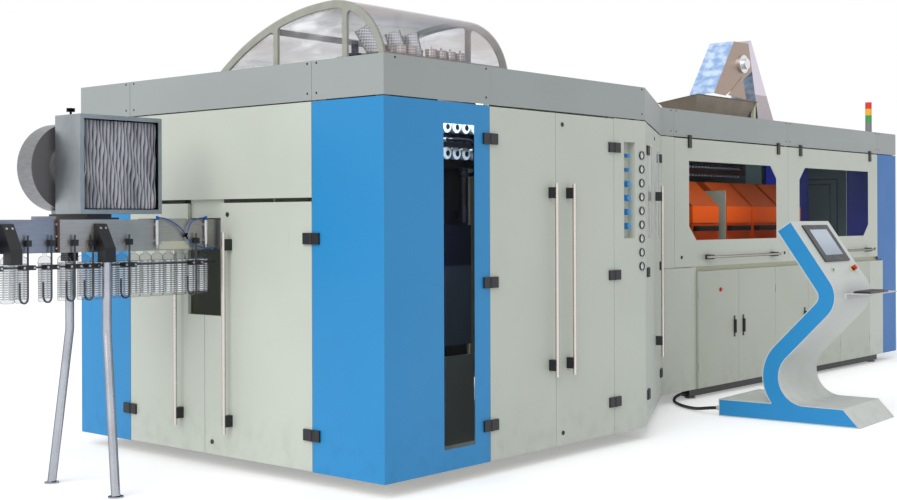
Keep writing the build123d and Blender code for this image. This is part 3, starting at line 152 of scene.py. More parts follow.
class Tree:
    """Nodes added one by one, with their settings and sockets."""

    def __init__(self, tree):
        self.tree = tree
        self.tree.nodes.clear()

    def raw(self, kind, settings=None, sockets=None):
        node = self.tree.nodes.new(kind)
        for key, value in (settings or {}).items():
            setattr(node, key, value)
        for key, value in (sockets or {}).items():
            if isinstance(value, Wire):
                self.tree.links.new(value.socket, node.inputs[key])
            else:
                node.inputs[key].default_value = value
        return node

    def add(self, kind, settings=None, sockets=None, output=0):
        return Wire(self, self.raw(kind, settings, sockets).outputs[output])


class Finish(Tree):
    """One material, built from Python expressions."""

    def __init__(self, name):
        self.material = bpy.data.materials.new(name)
        self.material.use_nodes = True
        super().__init__(self.material.node_tree)

    def place(self):
        """The three coordinates of a point on the piece, in the model's frame."""
        self.coords = self.add("ShaderNodeTexCoord", output="Object")
        return self.axes(self.coords)

    def axes(self, vector):
        parts = self.raw("ShaderNodeSeparateXYZ", sockets={0: vector})
        return tuple(Wire(self, socket) for socket in parts.outputs)

    def vector(self, operation, *vectors, output=0):
        """Vector Math. An operation that gives a number has it on the output Value."""
        sockets = dict(enumerate(vectors))
        return self.add("ShaderNodeVectorMath", {"operation": operation}, sockets, output)

    def apart(self, place):
        """How far a point on the piece lies from one place."""
        return self.vector("DISTANCE", self.coords, place, output="Value")

    def noise(self, scale, detail=3.0, stretch=None):
        """Cloudy values near 0.5; stretch squeezes or draws the pattern along X, Y and Z."""
        coords = self.coords
        if stretch:
            coords = self.add("ShaderNodeMapping", sockets={"Vector": coords, "Scale": stretch})
        sockets = {"Vector": coords, "Scale": scale, "Detail": detail, "Roughness": 0.5}
        return self.add("ShaderNodeTexNoise", sockets=sockets)

    def smooth(self, value, low, high, start=0.0, end=1.0):
        """Carry a value from one range to another, eased and held at the ends."""
        return self.add("ShaderNodeMapRange", {"interpolation_type": "SMOOTHSTEP"},
                        {0: value, 1: low, 2: high, 3: start, 4: end})

    def grazing(self, low, high):
        """0 where the surface faces the eye, 1 where it is seen nearly edge-on."""
        facing = self.add("ShaderNodeLayerWeight", sockets={"Blend": 0.5}, output="Facing")
        return self.smooth(facing, low, high)

    def mix(self, amount, first, second):
        """Two colours mixed by an amount from 0 to 1."""
        return self.add("ShaderNodeMix", {"data_type": "RGBA"}, {0: amount, 6: first, 7: second}, 2)

    def over(self, base, *layers):
        """Colours laid over one another, each as strongly as its mask says."""
        for mask, colour in layers:
            base = self.mix(mask, base, colour)
        return base

    def bump(self, height, strength, distance):
        sockets = {"Height": height, "Strength": strength, "Distance": distance}
        return self.add("ShaderNodeBump", sockets=sockets)

    def close(self, **sockets):
        """The surface itself. Names follow the shader's own sockets."""
        names = {key.replace("_", " "): value for key, value in sockets.items()}
        return self.finish_with(self.add("ShaderNodeBsdfPrincipled", sockets=names))

    def finish_with(self, shader):
        self.raw("ShaderNodeOutputMaterial", sockets={"Surface": shader})
        return self.material


print("a finish can", *[name for name in vars(Finish) if not name.startswith("_")])

# %% [markdown]
# Light in a factory hall comes from everywhere, with more from the open side. A pale
# world gives the even part, and one broad sun from the left makes the end of the cabin
# brighter than its front. Camera, mirror and glass rays see plain white behind it all: a
# Light Path node tells them from the light that only bounces about.
# %% World and sun


def direct_rays(tree):
    """1 for rays that show a thing to the eye, straight, mirrored or through glass."""
    path = tree.raw("ShaderNodeLightPath")
    seen = Wire(tree, path.outputs["Is Camera Ray"])
    for kind in ("Is Transmission Ray", "Is Glossy Ray"):
        seen = seen.calc("MAXIMUM", Wire(tree, path.outputs[kind]))
    return seen


SKY_TINT, SKY_STRENGTH = (0.93, 0.96, 1.0, 1), 0.62
SUN_STRENGTH, SUN_SPREAD, SUN_WAY = 1.9, math.radians(55), Vector((0.80, 0.16, -0.60))

scene = bpy.context.scene
scene.view_settings.view_transform = "Standard"
scene.world = bpy.data.worlds.new("hall")
scene.world.use_nodes = True
sky = Tree(scene.world.node_tree)
lit = sky.add("ShaderNodeBackground", sockets={"Color": SKY_TINT, "Strength": SKY_STRENGTH})
plain = sky.add("ShaderNodeBackground", sockets={"Color": (1, 1, 1, 1)})
shown = sky.add("ShaderNodeMixShader", sockets={0: direct_rays(sky), 1: lit, 2: plain})
sky.raw("ShaderNodeOutputWorld", sockets={0: shown})

sun_data = bpy.data.lights.new("hall_sun", "SUN")
sun_data.energy = SUN_STRENGTH
sun_data.angle = SUN_SPREAD
sun = bpy.data.objects.new("hall_sun", sun_data)
bpy.context.collection.objects.link(sun)
sun.rotation_euler = SUN_WAY.to_track_quat("-Z", "Y").to_euler()
print("sun", sun_data.energy)

# %% [markdown] The floor is pale and plain. It takes the shadow of the machine, and for
# the camera it glows a little so that it ends up nearly as white as the background
# behind it.
FLOOR_REACH, FLOOR_HEIGHT = 60, -0.002

floor_finish = Finish("pale_floor")
matt = floor_finish.add("ShaderNodeBsdfDiffuse", sockets={"Color": (0.86, 0.86, 0.86, 1)})
glow = floor_finish.add("ShaderNodeEmission", sockets={"Color": (1, 1, 1, 1), "Strength": 0.32})
lifted = floor_finish.add("ShaderNodeAddShader", sockets={0: matt, 1: glow})
floor_finish.finish_with(floor_finish.add(
    "ShaderNodeMixShader", sockets={0: direct_rays(floor_finish), 1: matt, 2: lifted}))

quarters = ((-1, -1), (1, -1), (1, 1), (-1, 1))
corners = [(FLOOR_REACH * x, FLOOR_REACH * y, FLOOR_HEIGHT) for x, y in quarters]
floor_mesh = bpy.data.meshes.new("floor")
floor_mesh.from_pydata(corners, [], [(0, 1, 2, 3)])
floor_mesh.materials.append(floor_finish.material)
floor = bpy.data.objects.new("floor", floor_mesh)
bpy.context.collection.objects.link(floor)
print("floor", 2 * FLOOR_REACH, "m wide")

# %% [markdown]
# The oven and the cabin are lit from inside as well, or their windows would be black
# holes. Small area lamps under the roof do it; no light leaves the closed cabinets.
# %% Lamps inside
LAMP_WAY = Vector((0, 0.35, -1))
INNER_LAMPS = {
    "oven_lamp_left": (spot(5700, 960, 2300), (1.8, 0.12), 7, (1, 0.96, 0.90)),
    "oven_lamp_right": (spot(7800, 960, 2300), (1.8, 0.12), 3.5, (0.75, 0.86, 1)),
    "cabin_lamp": (spot(1000, 120, 2500), (0.5, 0.08), 6, (0.9, 0.95, 1)),
    "cabin_low_lamp": (spot(900, 110, 1700), (0.3, 0.08), 0.4, (0.35, 0.4, 1)),
}
for name, (place, size, watts, tint) in INNER_LAMPS.items():
    lamp_data = bpy.data.lights.new(name, "AREA")
    lamp_data.shape = "RECTANGLE"
    lamp_data.size, lamp_data.size_y = size
    lamp_data.energy = watts
    lamp_data.color = tint
    lamp = bpy.data.objects.new(name, lamp_data)
    bpy.context.collection.objects.link(lamp)
    lamp.location = place
    lamp.rotation_euler = LAMP_WAY.to_track_quat("-Z", "Y").to_euler()
print("lamps inside:", len(INNER_LAMPS))

# %% [markdown]
# Colours are judged on a screen, while shaders work with linear light. `paint` turns one into the other,
# `shade` makes a colour darker or paler, and `dress` gives a material to whole CAD nodes.
# %% Colours


def paint(red, green, blue):
    """A colour picked on screen (0 to 255) as the shader's linear colour."""
    def channel(value):
        value /= 255
        return value / 12.92 if value <= 0.04045 else ((value + 0.055) / 1.055) ** 2.4
    return (channel(red), channel(green), channel(blue), 1)


def shade(colour, share):
    """A colour with less light for a share under 1, or more for one above it."""
    return tuple(min(1, channel * share) for channel in colour[:3]) + (1,)


def dress(material, *names):
    """Give CAD nodes one material."""
    for name in names:
        slots = nodes[name].material_slots
        for number in range(len(slots)):
            slots[number].material = material
    print(material.name, "on", *names)


WHITE = (1, 1, 1, 1)
CREAM, BLUE, GREY = paint(193, 198, 186), paint(28, 134, 193), paint(155, 160, 158)
BLACK_FITTING = paint(26, 26, 32)
print("cream is", [round(channel, 3) for channel in CREAM])

# %% [markdown]
# The walls of the machine are straight, so one point and one outward direction describe
# each of them. With these, a shader can tell the painted sheet from the fittings that
# stand proud of it: the black hinge blocks and locks need no mesh of their own.
# %% Walls of the machine
ANGLE_LEFT, ANGLE_RIGHT, OVEN_FRONT, CABINET_FRONT = 2785, 4344, 827, 807
LEAN = math.atan2(OVEN_FRONT, ANGLE_RIGHT - ANGLE_LEFT)
SOUTH, WEST, EAST, UP = Vector((0, -1, 0)), Vector((-1, 0, 0)), Vector((1, 0, 0)), Vector((0, 0, 1))
WALLS = {
    "front": (spot(0, 0, 0), SOUTH),
    "left": (spot(0, 0, 0), WEST),
    "angled": (spot(ANGLE_LEFT, 0, 0), Vector((math.sin(LEAN), -math.cos(LEAN), 0))),
    "oven": (spot(0, OVEN_FRONT, 0), SOUTH),
    "cabinet": (spot(0, CABINET_FRONT, 0), SOUTH),
}
PROUD = 0.00015


def proud_of(axes, wall):
    """1 where a point stands in front of a wall, 0 on it or behind it."""
    point, outward = WALLS[wall]
    x, y, _ = axes
    reach = x * outward.x + y * outward.y - point.dot(outward)
    return reach > PROUD


print("the angled wall leans", round(math.degrees(LEAN), 1), "degrees")

# %% [markdown]
# Powder paint on sheet metal is not flat: it has a fine orange peel, a faint cloudiness
# from the spray gun, and near the floor it picks up dust and scuffs. All of these are
# noise at different scales, one feeding bump, one colour and one roughness. Where a piece
# has more than one colour, a function of its own lays the others over the paint.
# %% Painted sheet


def sheet_paint(name, colour, wall=None, zones=None):
    """Powder paint. Fittings proud of the wall turn black, and zones lay colours over it."""
    finish = Finish(name)
    axes = finish.place()
    cloud = finish.smooth(finish.noise(1.7, 4), 0.3, 0.7, -0.5, 0.5)
    near_floor = finish.smooth(axes[2], 0.05, 0.55, 1.0, 0.0)
    grime = near_floor * finish.smooth(finish.noise(9, 5), 0.42, 0.7)
    scuff = finish.smooth(finish.noise(14, 6, (1, 1, 0.12)), 0.68, 0.74)
    base = finish.mix(cloud * 0.35 + 0.3, shade(colour, 1.05), shade(colour, 0.94))
    base = finish.mix(grime * 0.35 + scuff * 0.10, base, shade(colour, 0.72))
    roughness = 0.42 + cloud * 0.05 + scuff * 0.12
    if wall:
        fitting = proud_of(axes, wall)
        base = finish.mix(fitting, base, BLACK_FITTING)
        roughness = roughness + fitting * 0.06
    if zones:
        base, roughness = zones(finish, axes, base, roughness)
    orange_peel = finish.bump(finish.noise(420, 2), 0.10, 0.0006)
    return finish.close(Base_Color=base, Roughness=roughness, Normal=orange_peel)


DOORS_ON = {
    "front": ("front_door_left", "front_door_right"),
    "left": ("end_door_left", "end_door_right"),
    "angled": ("angled_door_left", "angled_door_right"),
    "oven": ("oven_flap_left", "oven_flap_right"),
}
for wall, names in DOORS_ON.items():
    dress(sheet_paint(f"cream_{wall}_doors", CREAM, wall), *names)
dress(sheet_paint("grey_fascia", GREY), "fascia_panels")

# %% [markdown]
# The wall at the oven's far end is blue outside, in the shade of the hall, and that shade is painted into
# its blue. Its inner face shows through the right window: a bright deep blue near the window, which is
# painted light, and a grey-green behind, which is painted shade on the sheets, with the thin seams of two
# nested panels. A face of a known plane is told by X alone, and a seam is a narrow band around one value
# of Y or Z.
# %% Blue panels and the far end
END_WALL, END_SHADE_START, END_BLUE_START = 9.003, 8.4, 0.42
SEAM_HALF, PANEL_SEAMS = 0.008, ((1.10, 2.09), (1.19, 2.03))


def inner_face(x):
    """1 on the inner face of the wall at the far end."""
    return x.between(END_WALL - 0.001, END_WALL + 0.0005)


def shaded_end(finish, axes, base, roughness):
    x, y, _ = axes
    # painted shade: the far end of the blue wall is given a deeper blue
    in_shade = (x > END_SHADE_START) * 0.65
    # painted light: the inner face near the window gets a brighter, deeper blue
    inside = inner_face(x) * (y > END_BLUE_START)
    return finish.over(base, (in_shade, paint(8, 82, 165)), (inside, paint(34, 56, 205))), roughness


def inner_seams(finish, axes, base, roughness):
    x, y, z = axes
    seams = 0
    for side, top in PANEL_SEAMS:
        upright_seam = (y.off(side) < SEAM_HALF) * (z < top)
        level_seam = (z.off(top) < SEAM_HALF) * (y > side)
        seams = seams + upright_seam + level_seam
    inside = inner_face(x)
    seam = inside * (seams > 0.5)
    # painted shade: the inner face of the sheets is a darker grey-green; the seams are dark joints
    return finish.over(base, (inside, paint(104, 130, 130)), (seam, paint(54, 70, 74))), roughness


dress(sheet_paint("cream_panels", CREAM, zones=inner_seams), "fixed_panels", "gauge_panel")
dress(sheet_paint("blue_panels", BLUE, zones=shaded_end), "corner_panels")

# %% [markdown]
# The five cabinet doors share the black swing handles and one cream paint, darker than the cabin's cream
# as painted shade, since they stand low. The first also carries a round red lamp, found by its distance
# from one point.
# %% Cabinet doors
LAMP_CENTRE, LAMP_RADIUS = spot(5336, 793, 970), 0.026


def red_lamp(finish, axes, base, roughness):
    lamp = finish.apart(LAMP_CENTRE) < LAMP_RADIUS
    return finish.mix(lamp, base, paint(196, 24, 20)), roughness - lamp * 0.25


# painted shade: a darker cream than the cabin's, for the low doors
shaded_cabinet_cream = sheet_paint("cabinet_door_cream", paint(180, 184, 171), "cabinet", zones=red_lamp)
dress(shaded_cabinet_cream, *[f"cabinet_door_{number}" for number in range(1, 6)])

# %% [markdown]
# The frame is cream tube, but its base rails are black and the fixed halves of the
# hinges, which stand out through the panels, are black too. Each wall is asked only
# over its own stretch of X.
# %% Frame
CABIN_END, OVEN_START, BASE_RAIL_TOP = 2.34, 3.93, 0.0899


def frame_zones(finish, axes, base, roughness):
    x, _, z = axes
    hinges = proud_of(axes, "left") + proud_of(axes, "front") * (x < CABIN_END)
    hinges = hinges + proud_of(axes, "angled") * x.between(CABIN_END, OVEN_START)
    hinges = hinges + proud_of(axes, "oven") * (x > OVEN_START)
    dark = (hinges + (z < BASE_RAIL_TOP)) > 0.5
    return finish.mix(dark, base, paint(24, 24, 28)), roughness + dark * 0.05


dress(sheet_paint("frame_cream", paint(205, 204, 176), zones=frame_zones), "machine_frame")

# %% [markdown]
# Stainless steel gets its look from brushing: scratches so fine that only their direction shows. Noise
# drawn out along the brushing direction feeds roughness and bump, and a broad cloudy noise gives the
# uneven reflections of thin sheet. A polished tube mirrors the dark of the hall at its edges; that
# reflection is painted, as Layer Weight darkens the colour there.
# %% Brushed and rolled steel
ALONG_X, ALONG_Z = (0.15, 6, 6), (6, 6, 0.15)


def steel(name, colour, stretch, rough=0.32, warp=0.25, zones=None, edge_reflection=0.0):
    """Brushed steel; stretch gives the direction of the scratches, warp the unevenness."""
    finish = Finish(name)
    axes = finish.place()
    grain, cloud = finish.noise(60, 4, stretch), finish.noise(4.5, 3)
    scratches = finish.smooth(grain, 0.3, 0.7)
    dull = finish.smooth(cloud, 0.35, 0.7) * 0.5 + scratches * 0.3
    base = finish.mix(dull, colour, shade(colour, 0.70))
    roughness = rough + scratches * 0.18
    if zones:
        base, roughness = zones(finish, axes, base, roughness)
    if edge_reflection:
        # painted reflection: the colour darkens towards the tube's edges, as the dark hall mirrored in
        # polished steel
        base = finish.mix(finish.grazing(0.20, 0.75) * edge_reflection, base, paint(34, 36, 48))
    normal = finish.bump(grain * 0.3 + cloud * 0.7, warp, 0.004)
    return finish.close(Base_Color=base, Roughness=roughness, Metallic=1.0, Normal=normal)


# The leg tubes carry the painted edge reflection.
dress(steel("leg_tube_steel", paint(190, 192, 200), ALONG_Z, 0.1, 0.05, edge_reflection=0.9), "conveyor_legs")
dress(steel("rail_steel", paint(84, 86, 90), ALONG_X, 0.22, 0.05), "guide_rail")
dress(steel("hopper_steel", paint(150, 138, 130), ALONG_X, 0.35), "preform_hopper")
dress(steel("foot_steel", paint(120, 120, 124), ALONG_Z, 0.4), "levelling_feet")

# %% [markdown]
# The air duct comes in two lengths, and the far one mirrors more of the blue hall, which is painted into
# its colour as a blue reflection. The bolted flange between them is brown, and a pale plate sits on the
# front where the hoses arrive. The knob on the filter box is black plastic, and only it rises above the
# box.
# %% Air duct and filter box
BEAM_FACE, FLANGE_X, FLANGE_HALF = 1.0599, -1.6302, 0.0085
PLATE_X, PLATE_Z, PLATE_FACE = (-0.903, -0.670), (1.443, 1.492), 1.0605
KNOB_HEIGHT = 0.040


def duct_zones(finish, axes, base, roughness):
    x, y, z = axes
    # painted reflection: the far length is tinted by the blue hall it mirrors
    far_length_reflection = (x < FLANGE_X) * 0.5
    flange = (x.off(FLANGE_X) < FLANGE_HALF) * (y < BEAM_FACE)
    plate = x.between(*PLATE_X) * z.between(*PLATE_Z) * (y < PLATE_FACE) * 0.9
    base = finish.over(base, (far_length_reflection, paint(88, 112, 150)), (flange, paint(104, 84, 74)),
                       (plate, paint(212, 208, 190)))
    return base, roughness


def knob_zone(finish, axes, base, roughness):
    box_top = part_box("filter_box")[1].z - KNOB_HEIGHT
    return finish.mix(axes[2] > box_top, base, paint(14, 14, 16)), roughness


duct_steel = steel("duct_steel", paint(172, 170, 168), ALONG_X, 0.34, 0.5, zones=duct_zones)
dress(duct_steel, "conveyor_beam")
dress(steel("filter_box_steel", paint(160, 166, 170), ALONG_Z, 0.3, zones=knob_zone), "filter_box")

# %% [markdown]
# The elevator is bent from bright sheet, so each of its faces mirrors another part of the hall, and these
# reflections are painted into its colours. The chute's front is brown and its side mirrors the sky,
# rippled; the column's front is pale at the top; all of these are painted reflections. A sloping seam
# parts the two, written as X over height. The bearing housing is a pale disc in front.
# %% Elevator
ELEVATOR_FACE, BEARING_FACE = 1.0603, 1.0590
SEAM_X, SEAM_Z, SEAM_SLOPE, REFLECTION_PALE_ABOVE = 6.745, 3.490, 0.2648, 2.95
BEARING_CENTRE, BEARING_RADIUS = (6.610, 1.040, 3.251), 0.110


def elevator_zones(finish, axes, base, roughness):
    x, y, z = axes
    front = y < ELEVATOR_FACE
    on_column = x > (SEAM_Z - z) * SEAM_SLOPE + SEAM_X
    # painted reflections: the rippled sky on the chute's side, brown on its front, and a paler top on the
    # column's front
    ripple = finish.smooth(finish.noise(9, 5, (0.6, 1, 1.5)), 0.36, 0.64)
    mirrored_sky = finish.mix(ripple, paint(206, 226, 250), paint(150, 180, 222))
    chute = finish.mix(front, mirrored_sky, paint(166, 148, 136))
    column_front = finish.mix(z > REFLECTION_PALE_ABOVE, paint(176, 168, 174), paint(214, 208, 220))
    column = finish.mix(front, base, column_front)
    bearing = (y < BEARING_FACE) * (finish.apart(BEARING_CENTRE) < BEARING_RADIUS)
    return finish.over(chute, (on_column, column), (bearing, paint(226, 226, 230))), roughness


elevator_steel = steel("elevator_steel", paint(200, 190, 182), ALONG_Z, 0.26, zones=elevator_zones)
dress(elevator_steel, "preform_elevator")

# %% [markdown]
# The silencers are cans of perforated steel. Thousands of cut holes would cost too many faces, so two
# crossing sine waves make their rows: where both are far from zero the steel is sunk and dark, the dark
# being painted shade inside the holes. The cans darken towards their edges as a painted reflection of the
# dark hall. The valve blocks between the cans are black.
# %% Silencers
HOLE_PITCH, CAN_FOOT, SMALL_CANS, VALVE_BLOCKS = 0.017, 2.635, -0.19, (0.05, 0.18)


def perforated_can():
    finish = Finish("perforated_can")
    x, y, z = finish.place()
    cells = (z.wave(HOLE_PITCH) * (x - y * 0.6).wave(HOLE_PITCH)).calc("ABSOLUTE")
    # painted shade: the holes are darkened
    hole_shade = finish.smooth(cells, 0.45, 0.8)
    can = z > CAN_FOOT
    tone = finish.mix((y < SMALL_CANS) * 0.45, paint(232, 232, 236), paint(186, 160, 142))
    # painted reflection: the cans darken towards their edges
    tone = finish.mix(finish.grazing(0.35, 0.9), tone, paint(84, 78, 80))
    base = finish.over(paint(96, 94, 94), (can, tone), (hole_shade * can * 0.8, paint(50, 46, 48)),
                       (y.between(*VALVE_BLOCKS), paint(16, 18, 28)))
    sunk = finish.bump(cells, 0.5, 0.003)
    return finish.close(Base_Color=base, Roughness=0.3, Metallic=0.8, Normal=sunk)


dress(perforated_can(), "exhaust_silencers")

# %% [markdown]
# The air cylinders are polished and carry blue push-in fittings, told by height, and a
# black splitter, told by the distance from its centre.
# %% Air cylinders
SPLITTER_CENTRE, SPLITTER_RADIUS = spot(-268, 1480, 1524), 0.024
TOP_FITTINGS, LOW_FITTING_X, LOW_FITTING_TOP = 1.6245, -0.4955, 1.449


def fitting_zones(finish, axes, base, roughness):
    x, _, z = axes
    fittings = (z > TOP_FITTINGS) + (x > LOW_FITTING_X) * (z < LOW_FITTING_TOP)
    splitter = finish.apart(SPLITTER_CENTRE) < SPLITTER_RADIUS
    base = finish.over(base, (fittings > 0.5, paint(28, 96, 190)), (splitter, paint(16, 16, 18)))
    return base, roughness


# The cylinders carry the painted edge reflection too.
cylinder_steel = steel(
    "cylinder_steel", paint(206, 206, 206), ALONG_Z, 0.24, 0.05, zones=fitting_zones, edge_reflection=0.6)
dress(cylinder_steel, "air_cylinders")

# %% [markdown]
# Each bar handle is a polished steel tube in the saddles of two black brackets. They are
# one CAD node, so the shader asks how far a point lies from the bar's own axis: the
# tube's skin is nearer than the saddle that holds it. That distance is the length of the
# cross product of the axis and the arm from a point on it.
# %% Bar handles
STAND_OFF, BAR_RADIUS, SKIN = 55, 12.5, 0.15


def bar_handle(node, point, direction):
    finish = Finish(f"{node}_steel")
    finish.place()
    arm = finish.vector("SUBTRACT", finish.coords, point)
    across = finish.vector("CROSS_PRODUCT", arm, direction)
    bar = finish.vector("LENGTH", across, output="Value") < (BAR_RADIUS + SKIN) / 1000
    # painted reflection: the bar is pale where it faces the eye and dark at its edges, as polished steel
    # mirrors the hall
    painted_sheen = finish.mix(finish.grazing(0.25, 0.8), paint(214, 206, 198), paint(70, 62, 60))
    grain = finish.noise(80, 3, ALONG_Z if direction == UP else ALONG_X)
    base = finish.mix(bar, paint(22, 22, 26), painted_sheen)
    dress(finish.close(Base_Color=base, Roughness=0.45 - bar * (0.25 - grain * 0.12), Metallic=bar), node)


angled_start, angled_out = WALLS["angled"]
angled_along = math.hypot(OVEN_FRONT, ANGLE_RIGHT - ANGLE_LEFT) / 1000 - 0.680
angled_point = angled_start + Vector((math.cos(LEAN), math.sin(LEAN), 0)) * angled_along
for node, point, direction in (
    ("front_handle_left", spot(1612, -STAND_OFF, 0), UP),
    ("front_handle_right", spot(1812, -STAND_OFF, 0), UP),
    ("end_handle_right", spot(-STAND_OFF, 1372, 0), UP),
    ("end_handle_left", spot(-STAND_OFF, 1876, 0), UP),
    ("angled_handle", angled_point + angled_out * STAND_OFF / 1000, UP),
    ("flap_handle_left", spot(0, OVEN_FRONT - STAND_OFF, 1275), EAST),
    ("flap_handle_right", spot(0, OVEN_FRONT - STAND_OFF, 1275), EAST),
):
    bar_handle(node, point, direction)

# %% [markdown]
# Clear polycarbonate hardly colours what lies behind it. It is told by its reflections, which grow
# towards a grazing view, and by a slight haze. So opacity starts near nothing, rises with Layer Weight as
# a painted reflection and a little where the noise says it has been wiped badly. The panes of the angled
# doors mirror the bright hall, painted as a pale, half opaque colour, and the right oven pane lies in
# shade, painted as a darker blue.
# %% Clear panes


def clear_sheet(name, colour, alpha, haze, grazing_reflection):
    finish = Finish(name)
    finish.place()
    smear = finish.smooth(finish.noise(3.2, 4, (1, 1, 0.5)), 0.35, 0.75)
    # painted reflection: the pane grows more opaque in its own colour towards a grazing view
    opacity = smear * haze + finish.grazing(0.45, 0.95) * grazing_reflection + alpha
    return finish.close(Base_Color=colour, Roughness=0.06, Alpha=opacity)


dress(clear_sheet("window_pane", paint(30, 36, 42), 0.02, 0.01, 0.05), "flap_pane_left", "corner_window")
dress(clear_sheet("shaded_pane", paint(24, 44, 66), 0.06, 0.03, 0.06), "flap_pane_right")
# painted reflection of the bright hall: a pale, half opaque colour
bright_pane = clear_sheet("bright_pane", paint(226, 232, 238), 0.45, 0.25, 0.35)
dress(bright_pane, "angled_pane_left", "angled_pane_right")

# %% [markdown]
# The canopy over the roof is bent, so it mirrors the hall in long bands, and these reflections are
# painted. Noise drawn out along the bend makes broad tinted bands of painted reflection and a few painted
# white streaks, and both add to the opacity. Its top, which mirrors the dark roof of the hall, is painted
# bluer and less clear as a reflection.
# %% Canopy
CANOPY_TOP, CANOPY_TOP_START = (2.80, 3.05), -0.2


def canopy_sheet():
    finish = Finish("canopy_pane")
    x, _, z = finish.place()
    # painted reflections: tinted bands, white streaks and a bluer top
    bands = finish.smooth(finish.noise(2.4, 4, (0.5, 0.35, 2.6)), 0.40, 0.62)
    painted_streak = finish.smooth(finish.noise(1.5, 3, (0.25, 0.8, 3.2)), 0.56, 0.66)
    roof = finish.smooth(z, *CANOPY_TOP) * (x > CANOPY_TOP_START)
    tint = finish.mix(bands, paint(120, 128, 156), paint(176, 162, 160))
    colour = finish.over(tint, (roof * 0.8, paint(92, 104, 140)), (painted_streak, WHITE))
    opacity = bands * 0.16 + painted_streak * 0.25 + finish.grazing(0.45, 0.95) * 0.34 + roof * 0.14 + 0.06
    return finish.close(Base_Color=colour, Roughness=0.05, Alpha=opacity)


dress(canopy_sheet(), "canopy_shell")

# %% [markdown]
# Plastic and rubber pieces: moulded black plastic has a fine grain that breaks up its
# gloss. The same recipe in other colours makes the knobs, the buttons and the plainly
# painted small parts.
# %% Moulded plastic and small painted parts


def moulded(name, colour, rough=0.45, metallic=0.0, zones=None, gloss=0.5):
    """Plastic or smooth paint with a fine grain."""
    finish = Finish(name)
    axes = finish.place()
    cloud = finish.smooth(finish.noise(12, 3), 0.35, 0.7)
    base = finish.mix(cloud * 0.5, colour, shade(colour, 0.8))
    roughness = rough + cloud * 0.08
    if zones:
        base, roughness = zones(finish, axes, base, roughness)
    return finish.close(Base_Color=base, Roughness=roughness, Metallic=metallic, Specular_IOR_Level=gloss,
                        Normal=finish.bump(finish.noise(900, 2), 0.15, 0.0004))


dress(moulded("black_clamp_plastic", paint(20, 20, 24), 0.35), "conveyor_clamps")
dress(moulded("canopy_frame_grey", paint(156, 157, 146), 0.5), "canopy_frame")
dress(moulded("red_mushroom", paint(205, 22, 20), 0.3), "estop_head")
dress(moulded("green_button", paint(40, 140, 60), 0.3), "push_button")
dress(moulded("blue_knobs", paint(52, 140, 215), 0.35), "regulator_knobs")

# %% [markdown]
# The lamp modules of the oven are enamelled orange, deeper below, and have brown hoods. A grey partition
# stands between them, and each has a black bar handle. Behind lie the panels of the oven, some grey-green
# and one blue at the far end; in the left part they turn dark towards the top, which is painted shade.
# They are flat and in known places, so height and depth choose the colour.
# %% Inside the oven
HOOD_FOOT, BRIGHT_FOOT, TROUGH, PARTITION_X = 1.7437, 1.5785, (1.2, 1.3002), (5.7015, 5.7165)
HANDLE_FACE, HANDLE_Z = 0.76485, (1.503, 1.5575)
BED_TOP, BACK_START, SHADE_END, FAR_PANEL = 1.2903, 0.9, 6.9, (7.3, 1.17)


def module_zones(finish, axes, base, roughness):
    x, y, z = axes
    handle = (y < HANDLE_FACE) * z.between(*HANDLE_Z)
    base = finish.over(
        base, (z < HOOD_FOOT, paint(236, 92, 8)), (z < BRIGHT_FOOT, paint(206, 70, 8)),
        (z.between(*TROUGH), paint(120, 124, 128)), (x.between(*PARTITION_X), paint(150, 164, 156)),
        (handle, paint(18, 18, 20)))
    return base, roughness


def bed_zones(finish, axes, base, roughness):
    x, y, z = axes
    upper = z > BED_TOP
    # painted shade: in the left part the back darkens towards the top
    dark = upper * (x < SHADE_END) * finish.smooth(z, 1.8, 2.0)
    far_panel = (x > FAR_PANEL[0]) * (y > FAR_PANEL[1]) * upper
    base = finish.over(base, (upper * (y > BACK_START), paint(74, 92, 94)), (dark, paint(20, 26, 34)),
                       (far_panel, paint(24, 40, 150)))
    return base, roughness


dress(moulded("orange_enamel", paint(156, 64, 10), 0.6, zones=module_zones, gloss=0.12), "oven_modules")
dress(moulded("oven_grey", paint(118, 128, 126), 0.6, zones=bed_zones, gloss=0.2), "oven_bed")

# %% [markdown]
# The stack light has one colour for each of its rings, from the base upwards: grey,
# green, amber and red. Only the height decides.
# %% Stack light
RINGS = ((2.717, paint(46, 150, 80)), (2.791, paint(238, 170, 40)), (2.865, paint(214, 40, 34)))


def ring_colours(finish, axes, base, roughness):
    return finish.over(base, *[(axes[2] > start, colour) for start, colour in RINGS]), roughness


dress(moulded("stack_light_lens", paint(120, 122, 124), 0.25, zones=ring_colours), "stack_light")

# %% [markdown]
# The blower's drum is spun steel, which noise drawn out along its axis suggests, and the
# adaptor under it is black. Height above the duct tells them apart. Depth tells the dull
# grey front of the drum, which no noise disturbs.
# %% Blower
ADAPTOR_TOP, DRUM_FACE = 1.6638, 1.3603


def blower_finish():
    finish = Finish("blower_drum")
    _, y, z = finish.place()
    grain = finish.noise(70, 4, (6, 0.2, 6))
    black, front = z < ADAPTOR_TOP, y < DRUM_FACE
    spun = finish.mix(grain, paint(170, 170, 172), paint(84, 86, 90))
    base = finish.over(spun, (front, paint(104, 102, 103)), (black, paint(20, 20, 24)))
    metal = (1 - black) * (1 - front * 0.7)
    return finish.close(Base_Color=base, Roughness=0.34 + grain * 0.12, Metallic=metal)


dress(blower_finish(), "blower")

# %% [markdown]
# The filter cloth is grey felt: fine fibre in the bump, broad soiling in the colour, and
# dark in the depth of every fold, where no light of the hall arrives.
# %% Felt of the filter
cloth_low, cloth_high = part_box("filter_media")
FOLD_SHADE = (0.018, 0.040)


